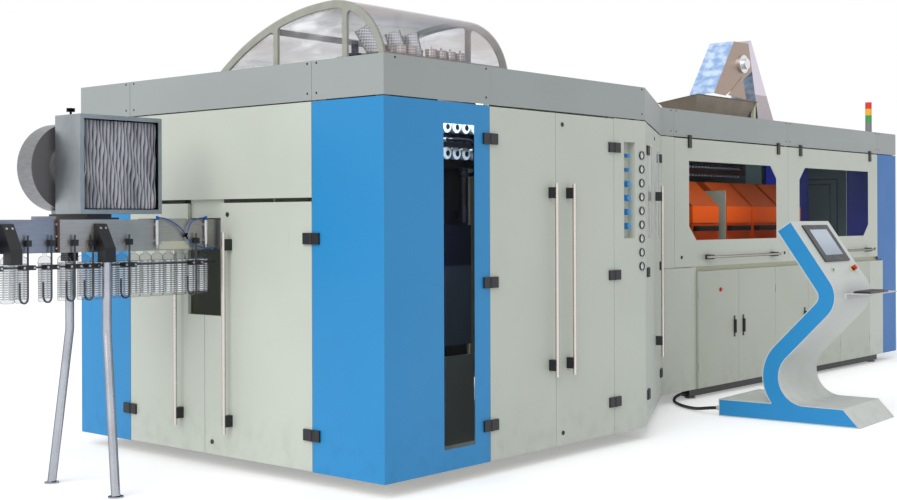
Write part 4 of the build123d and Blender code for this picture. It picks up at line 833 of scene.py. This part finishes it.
def filter_cloth():
    finish = Finish("filter_cloth")
    _, y, _ = finish.place()
    soil = finish.smooth(finish.noise(9, 4, (1, 1, 0.4)), 0.35, 0.7)
    depth = finish.smooth(y, cloth_low[1] + FOLD_SHADE[0], cloth_low[1] + FOLD_SHADE[1])
    felt = finish.mix(soil, paint(182, 182, 188), paint(136, 136, 144))
    base = finish.mix(depth * 0.95, felt, paint(30, 31, 36))
    fibre = finish.bump(finish.noise(260, 5), 0.5, 0.002)
    return finish.close(Base_Color=base, Roughness=0.95, Normal=fibre)


print("filter cloth box:", [round(high - low, 3) for low, high in zip(cloth_low, cloth_high)])

# %% [markdown]
# The cloth in the filter box is folded to and fro, and its folds sag a little out of
# line. A grid does it: each fold is a broad ridge and one column that lies deeper, and a
# slow wave, different for every fold, pushes the columns sideways. Solidify gives a body
# and one step of subdivision rounds the edges.
# %% Pleated filter cloth
FOLDS, ROWS, SIDE_GAP, END_GAP, FRONT_GAP = 21, 40, 0.031, 0.028, 0.010
FOLD_SHAPE = ((0, 0.002), (0.30, 0), (0.60, 0.003), (0.80, 0.045))


def fold_column(mesh, fold, share, deep):
    """One column of points, from the foot of the cloth to its top."""
    step = (cloth_high[0] - cloth_low[0] - 2 * SIDE_GAP) / FOLDS
    tall = cloth_high[2] - cloth_low[2] - 2 * END_GAP
    column = []
    for row in range(ROWS + 1):
        height = cloth_low[2] + END_GAP + tall * row / ROWS
        sway = 0.0050 * math.sin(height * 17 + fold * 0.9) + 0.0030 * math.sin(height * 53 + fold * 2.3)
        loose = math.sin(math.pi * row / ROWS) ** 0.5 * (1 + 0.3 * math.sin(fold * 5.1))
        bulge = 0.004 * math.sin(height * 31 + fold * 1.9)
        x = cloth_low[0] + SIDE_GAP + step * (fold + share) + sway * loose
        column.append(mesh.verts.new((x, cloth_low[1] + FRONT_GAP + deep + bulge, height)))
    return column


def pleated_cloth():
    mesh = bmesh.new()
    columns = [fold_column(mesh, fold, share, deep)
               for fold in range(FOLDS) for share, deep in FOLD_SHAPE]
    far_x = cloth_high[0] - SIDE_GAP
    columns.append([mesh.verts.new((far_x, first.co.y, first.co.z)) for first in columns[0]])
    for left, right in zip(columns, columns[1:]):
        for row in range(ROWS):
            mesh.faces.new((left[row], right[row], right[row + 1], left[row + 1]))
    data = bpy.data.meshes.new("filter_cloth")
    mesh.to_mesh(data)
    mesh.free()
    data.materials.append(filter_cloth())
    data.shade_smooth()
    piece = bpy.data.objects.new("filter_cloth", data)
    bpy.context.collection.objects.link(piece)
    piece.modifiers.new("body", "SOLIDIFY").thickness = 0.002
    soften = piece.modifiers.new("soften", "SUBSURF")
    soften.levels = soften.render_levels = 1
    return piece


cloth = pleated_cloth()
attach(cloth, "machine")
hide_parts("filter_media")
print("folds:", FOLDS)

# %% [markdown]
# Nine gauges hang in a column with an even pitch. Folding the height by that pitch puts
# them all on one dial, so a single pattern draws the rim, the white face, the scale
# marks and the needle of every gauge. No picture of a dial is needed.
# %% Pressure gauges
GAUGE_TOP, GAUGE_PITCH, GAUGE_X = 2.088, 0.1015, 2.733 - FOOT_INSET / 1000
RIM_RADIUS, MARK_RADII, NEEDLE_REACH, HUB_RADIUS = 0.0245, (0.0175, 0.0225), 0.019, 0.003


def gauge_faces():
    finish = Finish("gauge_faces")
    x, _, z = finish.place()
    local = (z - (GAUGE_TOP - 8.5 * GAUGE_PITCH)).folded(GAUGE_PITCH)
    across = x - GAUGE_X
    radius = (local * local + across * across).calc("SQRT")
    angle = across.calc("ARCTAN2", local)
    marks = ((angle * 5).calc("SINE").calc("ABSOLUTE") > 0.94) * radius.between(*MARK_RADII)
    needle = (angle.off(0.8) < 0.16) * (radius < NEEDLE_REACH)
    ink = (marks + needle + (radius < HUB_RADIUS)) > 0.5
    rim = radius > RIM_RADIUS
    base = finish.over(paint(236, 236, 230), (ink, paint(20, 20, 20)), (rim, paint(60, 62, 66)))
    return finish.close(Base_Color=base, Roughness=0.25 + rim * 0.1, Metallic=rim * 0.8)


dress(gauge_faces(), "pressure_gauges")

# %% [markdown]
# Behind the tall window stands the clamp unit: a drive box, a narrower block and upright blocks, and on
# top a block with rows of round valves and an arched pipe. Height picks the finish of the blocks; their
# dark colours were matched to the blocks in the cabin's shade, so they are partly painted shade. Folding
# X by the pitch of the valves draws the pale bore of every disc with one circle, as it was done for the
# gauges.
# %% Clamp unit
DRIVE_TOP, NARROW_TOP, UPRIGHT_LOW, UPRIGHT_HIGH, VALVE_LOW = 0.7302, 0.80, 1.32, 1.5872, 1.9602
VALVE_FACE, VALVE_START, VALVE_PITCH, VALVE_ASIDE = -0.0805, 0.4475, 0.095, 0.008
VALVE_ROWS, BORE_SQUARED, PIPE_FACE, PIPE_LOW = (2.053, 2.225, 2.330), 0.00036, -0.118, 1.9


def clamp_zones(finish, axes, base, roughness):
    x, y, z = axes
    across = (x - VALVE_START).folded(VALVE_PITCH) - VALVE_ASIDE
    low, middle, high = (z.off(row) for row in VALVE_ROWS)
    up = low.calc("MINIMUM", middle).calc("MINIMUM", high)
    bore = (across * across + up * up) < BORE_SQUARED
    disc = finish.mix(bore, paint(206, 224, 240), paint(14, 16, 22))
    valve = (z > VALVE_LOW) * (y < VALVE_FACE)
    pipe = (y < PIPE_FACE) * (z > PIPE_LOW)
    # the dark blocks are partly painted shade of the cabin
    base = finish.over(
        base, (z < NARROW_TOP, paint(22, 22, 26)), (z < DRIVE_TOP, paint(112, 118, 116)),
        (z > UPRIGHT_LOW, paint(26, 28, 48)), (z > UPRIGHT_HIGH, paint(12, 12, 18)),
        (z > VALVE_LOW, paint(18, 20, 26)), (valve, disc), (pipe, paint(24, 30, 44)))
    return base, roughness - pipe * 0.15


dress(moulded("clamp_unit_paint", paint(70, 82, 96), 0.4, zones=clamp_zones), "clamp_unit")

# %% [markdown]
# The console stands a little turned, so its own directions are worked out first: across
# its front, inward, and along the sloping panel with the screen. Everything on it is then
# placed along these three, as it was measured.
# %% The console's own directions
CONSOLE_TURN = math.radians(3.5)
CONSOLE_WIDTH, FIELD_STEP = 0.785, 0.002
PANEL_TOP, PANEL_KNEE = (629, 1600), (1051.7, 983.1)
console_corner = spot(4160, 170, 0)
console_across = Vector((math.cos(CONSOLE_TURN), math.sin(CONSOLE_TURN), 0))
console_inward = Vector((-math.sin(CONSOLE_TURN), math.cos(CONSOLE_TURN), 0))
slope = math.atan2(PANEL_TOP[1] - PANEL_KNEE[1], PANEL_KNEE[0] - PANEL_TOP[0])
panel_normal = -console_inward * math.sin(slope) + UP * math.cos(slope)
panel_up = console_inward * math.cos(slope) + UP * math.sin(slope)
panel_origin = console_corner - console_inward * PANEL_TOP[0] / 1000 + UP * PANEL_TOP[1] / 1000


def on_panel(across, down):
    """A point on the sloping panel, in mm from its upper left corner."""
    return panel_origin + console_across * across / 1000 - panel_up * down / 1000


print("the panel slopes", round(math.degrees(slope), 1), "degrees")

# %% [markdown]
# The console is folded from sheet: its outer ribbon is cream, and its sides have a blue
# field that lies two millimetres back from the edge. The depth of that step is what the
# shader looks for. A dark ring lies around the place of the push button.
# %% Console housing
BUTTON_PLACE, BUTTON_RING = (193, 471), (0.013, 0.020)


def console_fields(finish, axes, base, roughness):
    x, y, _ = axes
    across = x * console_across.x + y * console_across.y - console_corner.dot(console_across)
    left = across.off(FIELD_STEP) < FIELD_STEP / 4
    right = across.off(CONSOLE_WIDTH - FIELD_STEP) < FIELD_STEP / 4
    ring = finish.apart(on_panel(*BUTTON_PLACE)).between(*BUTTON_RING)
    return finish.over(base, (ring, paint(60, 62, 66)), (left + right, BLUE)), roughness


dress(sheet_paint("console_paint", paint(196, 200, 195), zones=console_fields), "console_housing")

# %% [markdown]
# The operator's panel is a black bezel. The touch screen stands out a little, so the
# distance along the panel's normal finds it, and it is smoother than the bezel. The plate
# under the emergency stop is yellow, its raised socket is dark, and the push button has a
# white collar.
# %% Operator's panel and keyboard tray
SCREEN_OUT, SOCKET_OUT, KEYBOARD_FOOT = 0.0125, 0.0030, 1.0302
STOP_PLACE, STOP_RADIUS, COLLAR_RADIUS = (620, 475), 0.036, 0.02


def operator_zones(finish, axes, base, roughness):
    along_normal = finish.vector("DOT_PRODUCT", finish.coords, panel_normal, output="Value")
    out = along_normal - panel_origin.dot(panel_normal)
    screen = out > SCREEN_OUT
    stop_plate = finish.apart(on_panel(*STOP_PLACE)) < STOP_RADIUS
    collar = finish.apart(on_panel(*BUTTON_PLACE)) < COLLAR_RADIUS
    upper = finish.smooth(axes[2], 1.25, 1.5)
    screen_tone = finish.mix(upper, paint(120, 138, 156), paint(176, 190, 202))
    base = finish.over(
        base, (screen, screen_tone), (stop_plate, paint(232, 196, 40)),
        (stop_plate * (out > SOCKET_OUT), paint(40, 40, 44)), (collar, paint(232, 234, 234)))
    return base, roughness - screen * 0.3


def tray_zones(finish, axes, base, roughness):
    return finish.mix(axes[2] > KEYBOARD_FOOT, base, paint(30, 31, 35)), roughness


dress(moulded("operator_bezel", paint(34, 36, 40), 0.4, zones=operator_zones), "operator_panel")
dress(moulded("tray_steel", paint(188, 190, 190), 0.35, zones=tray_zones), "keyboard_tray")

# %% [markdown]
# What repeats is grown by Geometry Nodes. A `Grower` is a tree with named inputs. It gets
# a bare mesh of points, puts one shape on each of them, makes the copies real and gives
# them their material. The evaluated result is kept as a plain mesh and the modifier goes.
# %% A helper for growing pieces on points


class Grower(Tree):
    """A Geometry Nodes tree that puts one shape on every point of a mesh."""

    def __init__(self, name, **inputs):
        super().__init__(bpy.data.node_groups.new(name, "GeometryNodeTree"))
        sockets = self.tree.interface
        sockets.new_socket("Points", in_out="INPUT", socket_type="NodeSocketGeometry")
        self.keys = {}
        for label, value in {**inputs, "Material": None}.items():
            kind = {float: "NodeSocketFloat", int: "NodeSocketInt"}.get(type(value), "NodeSocketMaterial")
            socket = sockets.new_socket(label, in_out="INPUT", socket_type=kind)
            if value is not None:
                socket.default_value = value
            self.keys[label] = socket.identifier
        sockets.new_socket("Mesh", in_out="OUTPUT", socket_type="NodeSocketGeometry")
        self.entry = self.tree.nodes.new("NodeGroupInput")

    def value(self, label):
        return Wire(self, self.entry.outputs[label])

    def end(self, shape, smooth, **instance):
        """Copy the shape to the points, make the copies real and paint them."""
        copies = self.add("GeometryNodeInstanceOnPoints",
                          sockets={"Points": self.value("Points"), "Instance": shape, **instance})
        made = self.add("GeometryNodeRealizeInstances", sockets={0: copies})
        made = self.add("GeometryNodeSetShadeSmooth", sockets={0: made, "Shade Smooth": smooth})
        made = self.add("GeometryNodeSetMaterial", sockets={0: made, "Material": self.value("Material")})
        self.raw("NodeGroupOutput", sockets={0: made})


def grow(name, grower, points, body, slot, material, facing=None, **values):
    """Run a tree on a list of points and keep the result as one plain piece."""
    seeds = bpy.data.meshes.new(name + "_points")
    seeds.from_pydata([tuple(point) for point in points], [], [])
    if facing:
        outward = seeds.attributes.new("facing", "FLOAT_VECTOR", "POINT")
        for item, direction in zip(outward.data, facing):
            item.vector = direction
    piece = bpy.data.objects.new(name, seeds)
    bpy.context.collection.objects.link(piece)
    modifier = piece.modifiers.new("grow", "NODES")
    modifier.node_group = grower.tree
    for label, value in {**values, "Material": material}.items():
        modifier[grower.keys[label]] = value
    graph = bpy.context.evaluated_depsgraph_get()
    made = bpy.data.meshes.new_from_object(piece.evaluated_get(graph), depsgraph=graph)
    piece.modifiers.clear()
    piece.data = made
    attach(piece, body)
    print(name, len(points), "copies,", len(made.polygons), "faces")
    return piece


print("a grower can", *[name for name in vars(Grower) if not name.startswith("_")])

# %% [markdown]
# A water bottle is a tube whose radius changes with height: a rounded foot, a ribbed
# body, a dome for a shoulder and a neck with the ring it hangs by. So one upright curve
# is enough, with its radius written as a function of height, and a circle swept along it.
# Each bottle stores its own coordinates before it is copied, for its material to use.
# %% The shape of a bottle
FOOT_ROUND, FOOT_IN, RIBS_LOW, RIBS_SHORT = 0.012, 0.009, 0.022, 0.012
RING_HEIGHT, RING_HALF, RING_OUT = 0.2958, 0.0018, 0.0045
bottle = Grower("bottle", Height=0.3143, Radius=0.041, Neck=0.014, Shoulder=0.236, Dome=0.036,
                Pitch=0.0135, Rib=0.0016)
height, radius, neck = (bottle.value(label) for label in ("Height", "Radius", "Neck"))
shoulder, dome_height = bottle.value("Shoulder"), bottle.value("Dome")
top = bottle.add("ShaderNodeCombineXYZ", sockets={2: height})
axis_line = bottle.add("GeometryNodeCurvePrimitiveLine", sockets={"Start": (0, 0, 0), "End": top})
axis_line = bottle.add("GeometryNodeResampleCurve", sockets={"Curve": axis_line, "Count": 120})
on_line = bottle.raw("ShaderNodeSeparateXYZ", sockets={0: bottle.add("GeometryNodeInputPosition")})
z = Wire(bottle, on_line.outputs[2])
rib_wave = (z * (2 * math.pi) / bottle.value("Pitch")).calc("COSINE") * 0.5 + 0.5
ribbed = (z > RIBS_LOW) * (z < shoulder - RIBS_SHORT)
foot_turn = (1 - z / FOOT_ROUND).calc("MAXIMUM", 0)
body_radius = radius - rib_wave * ribbed * bottle.value("Rib") - foot_turn * foot_turn * FOOT_IN
rise = ((z - shoulder) / dome_height).calc("MAXIMUM", 0).calc("MINIMUM", 1)
dome = neck + (radius - neck) * (1 - rise * rise).calc("SQRT")
ring = (z.off(RING_HEIGHT) < RING_HALF) * RING_OUT
above = z > shoulder
profile_radius = body_radius * (1 - above) + (dome + ring) * above
circle = bottle.add("GeometryNodeCurvePrimitiveCircle", sockets={"Resolution": 24, "Radius": 1.0})
skin = bottle.add("GeometryNodeCurveToMesh", sockets={
    "Curve": axis_line, "Profile Curve": circle, "Scale": profile_radius, "Fill Caps": True})
skin = bottle.add("GeometryNodeStoreNamedAttribute", {"data_type": "FLOAT_VECTOR", "domain": "POINT"}, {
    "Geometry": skin, "Name": "own_place", "Value": bottle.add("GeometryNodeInputPosition")})
bottle.end(skin, True)
print("bottle tree:", len(bottle.tree.nodes), "nodes")

# %% [markdown]
# Thin clear plastic shows as a dark outline and as short white glints on the ribs: the outline is painted
# shade along the edges, and the glints are painted highlights. The stored coordinates give each bottle
# its own angle and height, and the product of two sine waves puts the glints on the ribs. All of it
# raises the opacity a little.
# %% Row of bottles
BOTTLE_LOW, BOTTLE_HIGH, BOTTLE_LINE = 1145, 1459.3, 1620
RIB_PITCH, RIBBED_HEIGHTS = 0.0135, (0.020, 0.230)


def clear_bottle():
    finish = Finish("clear_bottle")
    own_place = finish.add("ShaderNodeAttribute", {"attribute_name": "own_place"}, output="Vector")
    across, along, height = finish.axes(own_place)
    angle = along.calc("ARCTAN2", across)
    body = height.between(*RIBBED_HEIGHTS)
    glint_columns = finish.smooth((angle * 3.5).calc("SINE").calc("ABSOLUTE"), 0.30, 0.65)
    ribs = finish.smooth(height.wave(RIB_PITCH).calc("ABSOLUTE"), 0.35, 0.8)
    glint = glint_columns * ribs * body
    # painted shade along the edges and painted highlights on the ribs
    edge = finish.grazing(0.45, 0.95)
    base = finish.over(paint(116, 124, 132), (edge, paint(44, 48, 54)), (glint, WHITE))
    opacity = edge * 0.75 + glint * 0.8 + (1 - ribs) * body * 0.30 + 0.17
    return finish.close(Base_Color=base, Roughness=0.12, Alpha=opacity)


bottle_xs = [-1440, -1350, -1195, -1065, -930] + [-835 + 89 * step for step in range(10)]
bottle_points = [spot(x, BOTTLE_LINE, BOTTLE_LOW) for x in bottle_xs]
row_of_bottles = grow("row_of_bottles", bottle, bottle_points, "machine", "bottle", clear_bottle(),
                      Height=(BOTTLE_HIGH - BOTTLE_LOW) / 1000)
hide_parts("bottles")

# %% [markdown]
# Screws, bolts, spindles and the keys of the keyboard are all a short stub with straight
# or slanted sides, so they share one tree: the number of sides makes a round screw, a
# hexagon or a square key. The stub turns to the direction stored on its point.
# %% A stub for everything small
stub = Grower("stub", Sides=16, Foot=0.006, Top=0.005, Height=0.003, Twist=0.0)
cone = stub.add("GeometryNodeMeshCone", sockets={
    "Vertices": stub.value("Sides"), "Radius Top": stub.value("Top"), "Radius Bottom": stub.value("Foot"),
    "Depth": stub.value("Height")})
twist = stub.add("ShaderNodeCombineXYZ", sockets={2: stub.value("Twist")})
cone = stub.add("GeometryNodeTransform", sockets={"Geometry": cone, "Rotation": twist})
stored = stub.add("GeometryNodeInputNamedAttribute", {"data_type": "FLOAT_VECTOR"}, {"Name": "facing"})
aim = stub.add("FunctionNodeAlignRotationToVector", {"axis": "Z"}, {"Vector": stored})
stub.end(cone, False, Rotation=aim)


def stubs(name, placed, slot, material, **sizes):
    """Grow stubs from pairs of a place and the direction they point in."""
    places, directions = zip(*placed)
    return grow(name, stub, places, "machine", slot, material, directions, **sizes)


print("stub tree:", len(stub.tree.nodes), "nodes")

# %% [markdown]
# The grey fascia is screwed to the frame beside its seams, in two rows. The duct has
# hexagon bolts on both sides of its flange, on the brackets over the legs, beside the
# hooks that carry the guide rail and along its own front.
# %% Screws and bolts
FASCIA_ROWS, CABIN_SCREWS, END_SCREWS = (2392, 2574), (936, 2745), (562, 642, 2400, 2490)
OVEN_SEAMS, SEAM_SIDES = (4553, 6739, 8930), (-45, 45)
FLANGE_SIDES = ((-1198.4, WEST), (-1182.4, EAST))
FLANGE_ROWS, FLANGE_HEIGHTS = (1490, 1750), (1462, 1532, 1602)
BRACKET_BOLTS, BRACKET_OUT = (-918, -882, -1538, -1502), Vector((0, -0.85, 0.53))
HOOKS, HOOK_SIDES, RAIL_HEIGHT = (-1600, -1393, -1240, -1084, -960, -700, -190), (-32, 32), 1355
FRONT_BOLTS = (-760, -717, -452, -241)

screws = [(spot(97, 0, 2572), SOUTH)]
screws += [(spot(x, 0, height), SOUTH) for x in CABIN_SCREWS for height in FASCIA_ROWS]
screws += [(spot(seam + side, OVEN_FRONT, height), SOUTH)
           for seam in OVEN_SEAMS for side in SEAM_SIDES for height in FASCIA_ROWS]
screws += [(spot(0, y, height), WEST) for y in END_SCREWS for height in FASCIA_ROWS]
black_steel = moulded("black_screws", paint(26, 26, 30), 0.4, metallic=0.6)
stubs("fascia_screws", screws, "black_plastic", black_steel, Foot=0.0075, Top=0.0065, Height=0.0012)

bolts = [(spot(x, y, height), way)
         for y in FLANGE_ROWS for height in FLANGE_HEIGHTS for x, way in FLANGE_SIDES]
bolts += [(spot(x, 1461.5, 1577), BRACKET_OUT) for x in BRACKET_BOLTS]
bolts += [(spot(hook + side, 1463.8, RAIL_HEIGHT), SOUTH) for hook in HOOKS for side in HOOK_SIDES]
bolts += [(spot(x, 1499.9, 1481), SOUTH) for x in FRONT_BOLTS]
zinc = steel("zinc_bolts", paint(196, 196, 200), ALONG_Z, 0.25, 0.05)
stubs("conveyor_bolts", bolts, "stainless", zinc, Sides=6, Foot=0.0085, Top=0.0075, Height=0.006)

# %% [markdown]
# Above the lamp modules a chain of spindles carries the preforms through the oven. Little
# of it shows behind the left window, so a row of round stubs with a disc on each and two
# square rails is enough to suggest it.
# %% Spindles of the oven
SPINDLE_COUNT, SPINDLE_PITCH, SPINDLE_START, RAIL_START = 36, 62, 4780, 4740
spindles = [spot(SPINDLE_START + SPINDLE_PITCH * step, 1500, 2052) for step in range(SPINDLE_COUNT)]
dark_steel = steel("spindle_steel", paint(120, 128, 140), ALONG_Z, 0.3, 0.05)
stubs("spindles", [(place, UP) for place in spindles], "stainless", dark_steel,
      Foot=0.012, Top=0.012, Height=0.110)
stubs("spindle_discs", [(place + UP * 0.05, UP) for place in spindles], "stainless", dark_steel,
      Foot=0.024, Top=0.024, Height=0.014)
rails = [(spot(RAIL_START, y, height), EAST) for y, height in ((1500, 2170), (1470, 2100))]
stubs("spindle_rails", rails, "stainless", black_steel, Sides=4, Foot=0.030, Top=0.030, Height=2.28)

# %% [markdown]
# The keyboard has five rows of twenty keys, each a square stub with slanted sides. A
# four-sided cone stands on its corner, so it is twisted by an eighth of a turn more than
# the console is.
# %% Keys
KEY_ROWS, KEY_COLUMNS, KEY_PITCH, ROW_PITCH = 5, 20, 0.0191, 0.0235
FIRST_KEY_ACROSS, FIRST_KEY_OUT, KEY_FOOT = 0.254, 1.063, 1.0424


def key_place(column, row):
    across, out = FIRST_KEY_ACROSS + KEY_PITCH * column, FIRST_KEY_OUT + ROW_PITCH * row
    return console_corner + console_across * across - console_inward * out + UP * KEY_FOOT


keys = [(key_place(column, row), UP) for column in range(KEY_COLUMNS) for row in range(KEY_ROWS)]
stubs("keyboard_keys", keys, "black_plastic", moulded("key_caps", paint(46, 47, 52), 0.5),
      Sides=4, Foot=0.0125, Top=0.0095, Height=0.0055, Twist=math.pi / 4 + CONSOLE_TURN)

# %% [markdown]
# Cords are curves. Each route is a handful of control points, the same as in the CAD
# source, and a NURBS line of order three passes smoothly between them. The order and the
# end points are set last, because setting them on an empty spline does nothing.
# %% Routes of the hoses and the console cable
CORDS = {
    "air_hose_left": ("hose", 8, "medium", (
        (-472.5, 1484, 1640), (-446, 1484, 1639), (-404, 1482, 1629), (-352, 1480, 1602),
        (-310, 1480, 1576), (-280, 1480, 1541))),
    "air_hose_right": ("hose", 8, "medium", (
        (-122.5, 1484, 1640), (-146, 1484, 1638), (-184, 1482, 1633), (-223, 1480, 1616),
        (-247, 1480, 1583), (-257, 1480, 1547))),
    "air_hose_supply": ("hose", 8, "medium", (
        (-258, 1480, 1508), (-243, 1477, 1488), (-215, 1469, 1468), (-165, 1464, 1452),
        (-110, 1470, 1441), (-60, 1480, 1440))),
    "console_cable": ("cable", 28, "stiff", (
        (4845, 910, 52), (4722, 908, 46), (4560, 846, 20), (4432, 712, 15), (4330, 560, 15),
        (4247, 420, 24), (4212, 306, 46), (4214, 214, 56))),
}


def cord_line(name, diameter, route):
    curve = bpy.data.curves.new(name + "_line", "CURVE")
    curve.dimensions = "3D"
    spline = curve.splines.new("NURBS")
    spline.points.add(len(route) - 1)
    for point, place in zip(spline.points, route):
        point.co = (*spot(*place), 1)
    spline.order_u = 3
    spline.use_endpoint_u = True
    spline.resolution_u = 8
    curve.bevel_depth = diameter / 2000
    curve.bevel_resolution = 3
    curve.use_fill_caps = True
    piece = bpy.data.objects.new(name + "_line", curve)
    bpy.context.collection.objects.link(piece)
    return piece


print("cords:", *CORDS)

# %% [markdown]
# A cord's length is measured, not guessed: the bare centreline is turned into a mesh and its edges are
# added up, and the length is printed.
# %% Hoses and the console cable
CORD_COLOURS = {"hose": paint(22, 84, 160), "cable": paint(18, 18, 20)}


def line_length(piece):
    """Length of a curve's own centreline."""
    bare = piece.data.copy()
    bare.bevel_depth = 0
    probe = bpy.data.objects.new("probe", bare)
    bpy.context.collection.objects.link(probe)
    mesh = bpy.data.meshes.new_from_object(probe.evaluated_get(bpy.context.evaluated_depsgraph_get()))
    ends = [[mesh.vertices[number].co for number in edge.vertices] for edge in mesh.edges]
    length = sum((start - end).length for start, end in ends)
    bpy.data.objects.remove(probe)
    bpy.data.meshes.remove(mesh)
    return length


def cord_rubber(name, colour):
    finish = Finish(name)
    finish.place()
    cloud = finish.noise(40, 3)
    base = finish.mix(finish.smooth(cloud, 0.35, 0.7), colour, shade(colour, 0.6))
    return finish.close(Base_Color=base, Roughness=0.42 + cloud * 0.1)


for name, (slot, diameter, stiffness, route) in CORDS.items():
    piece = cord_line(name, diameter, route)
    piece.data.materials.append(cord_rubber(name + "_rubber", CORD_COLOURS[slot]))
    length = line_length(piece)
    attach(piece, "machine")
    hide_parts(name)
    tuple(spot(*route[0]))
    diameter / 1000
    print(name, round(length, 3), "m")
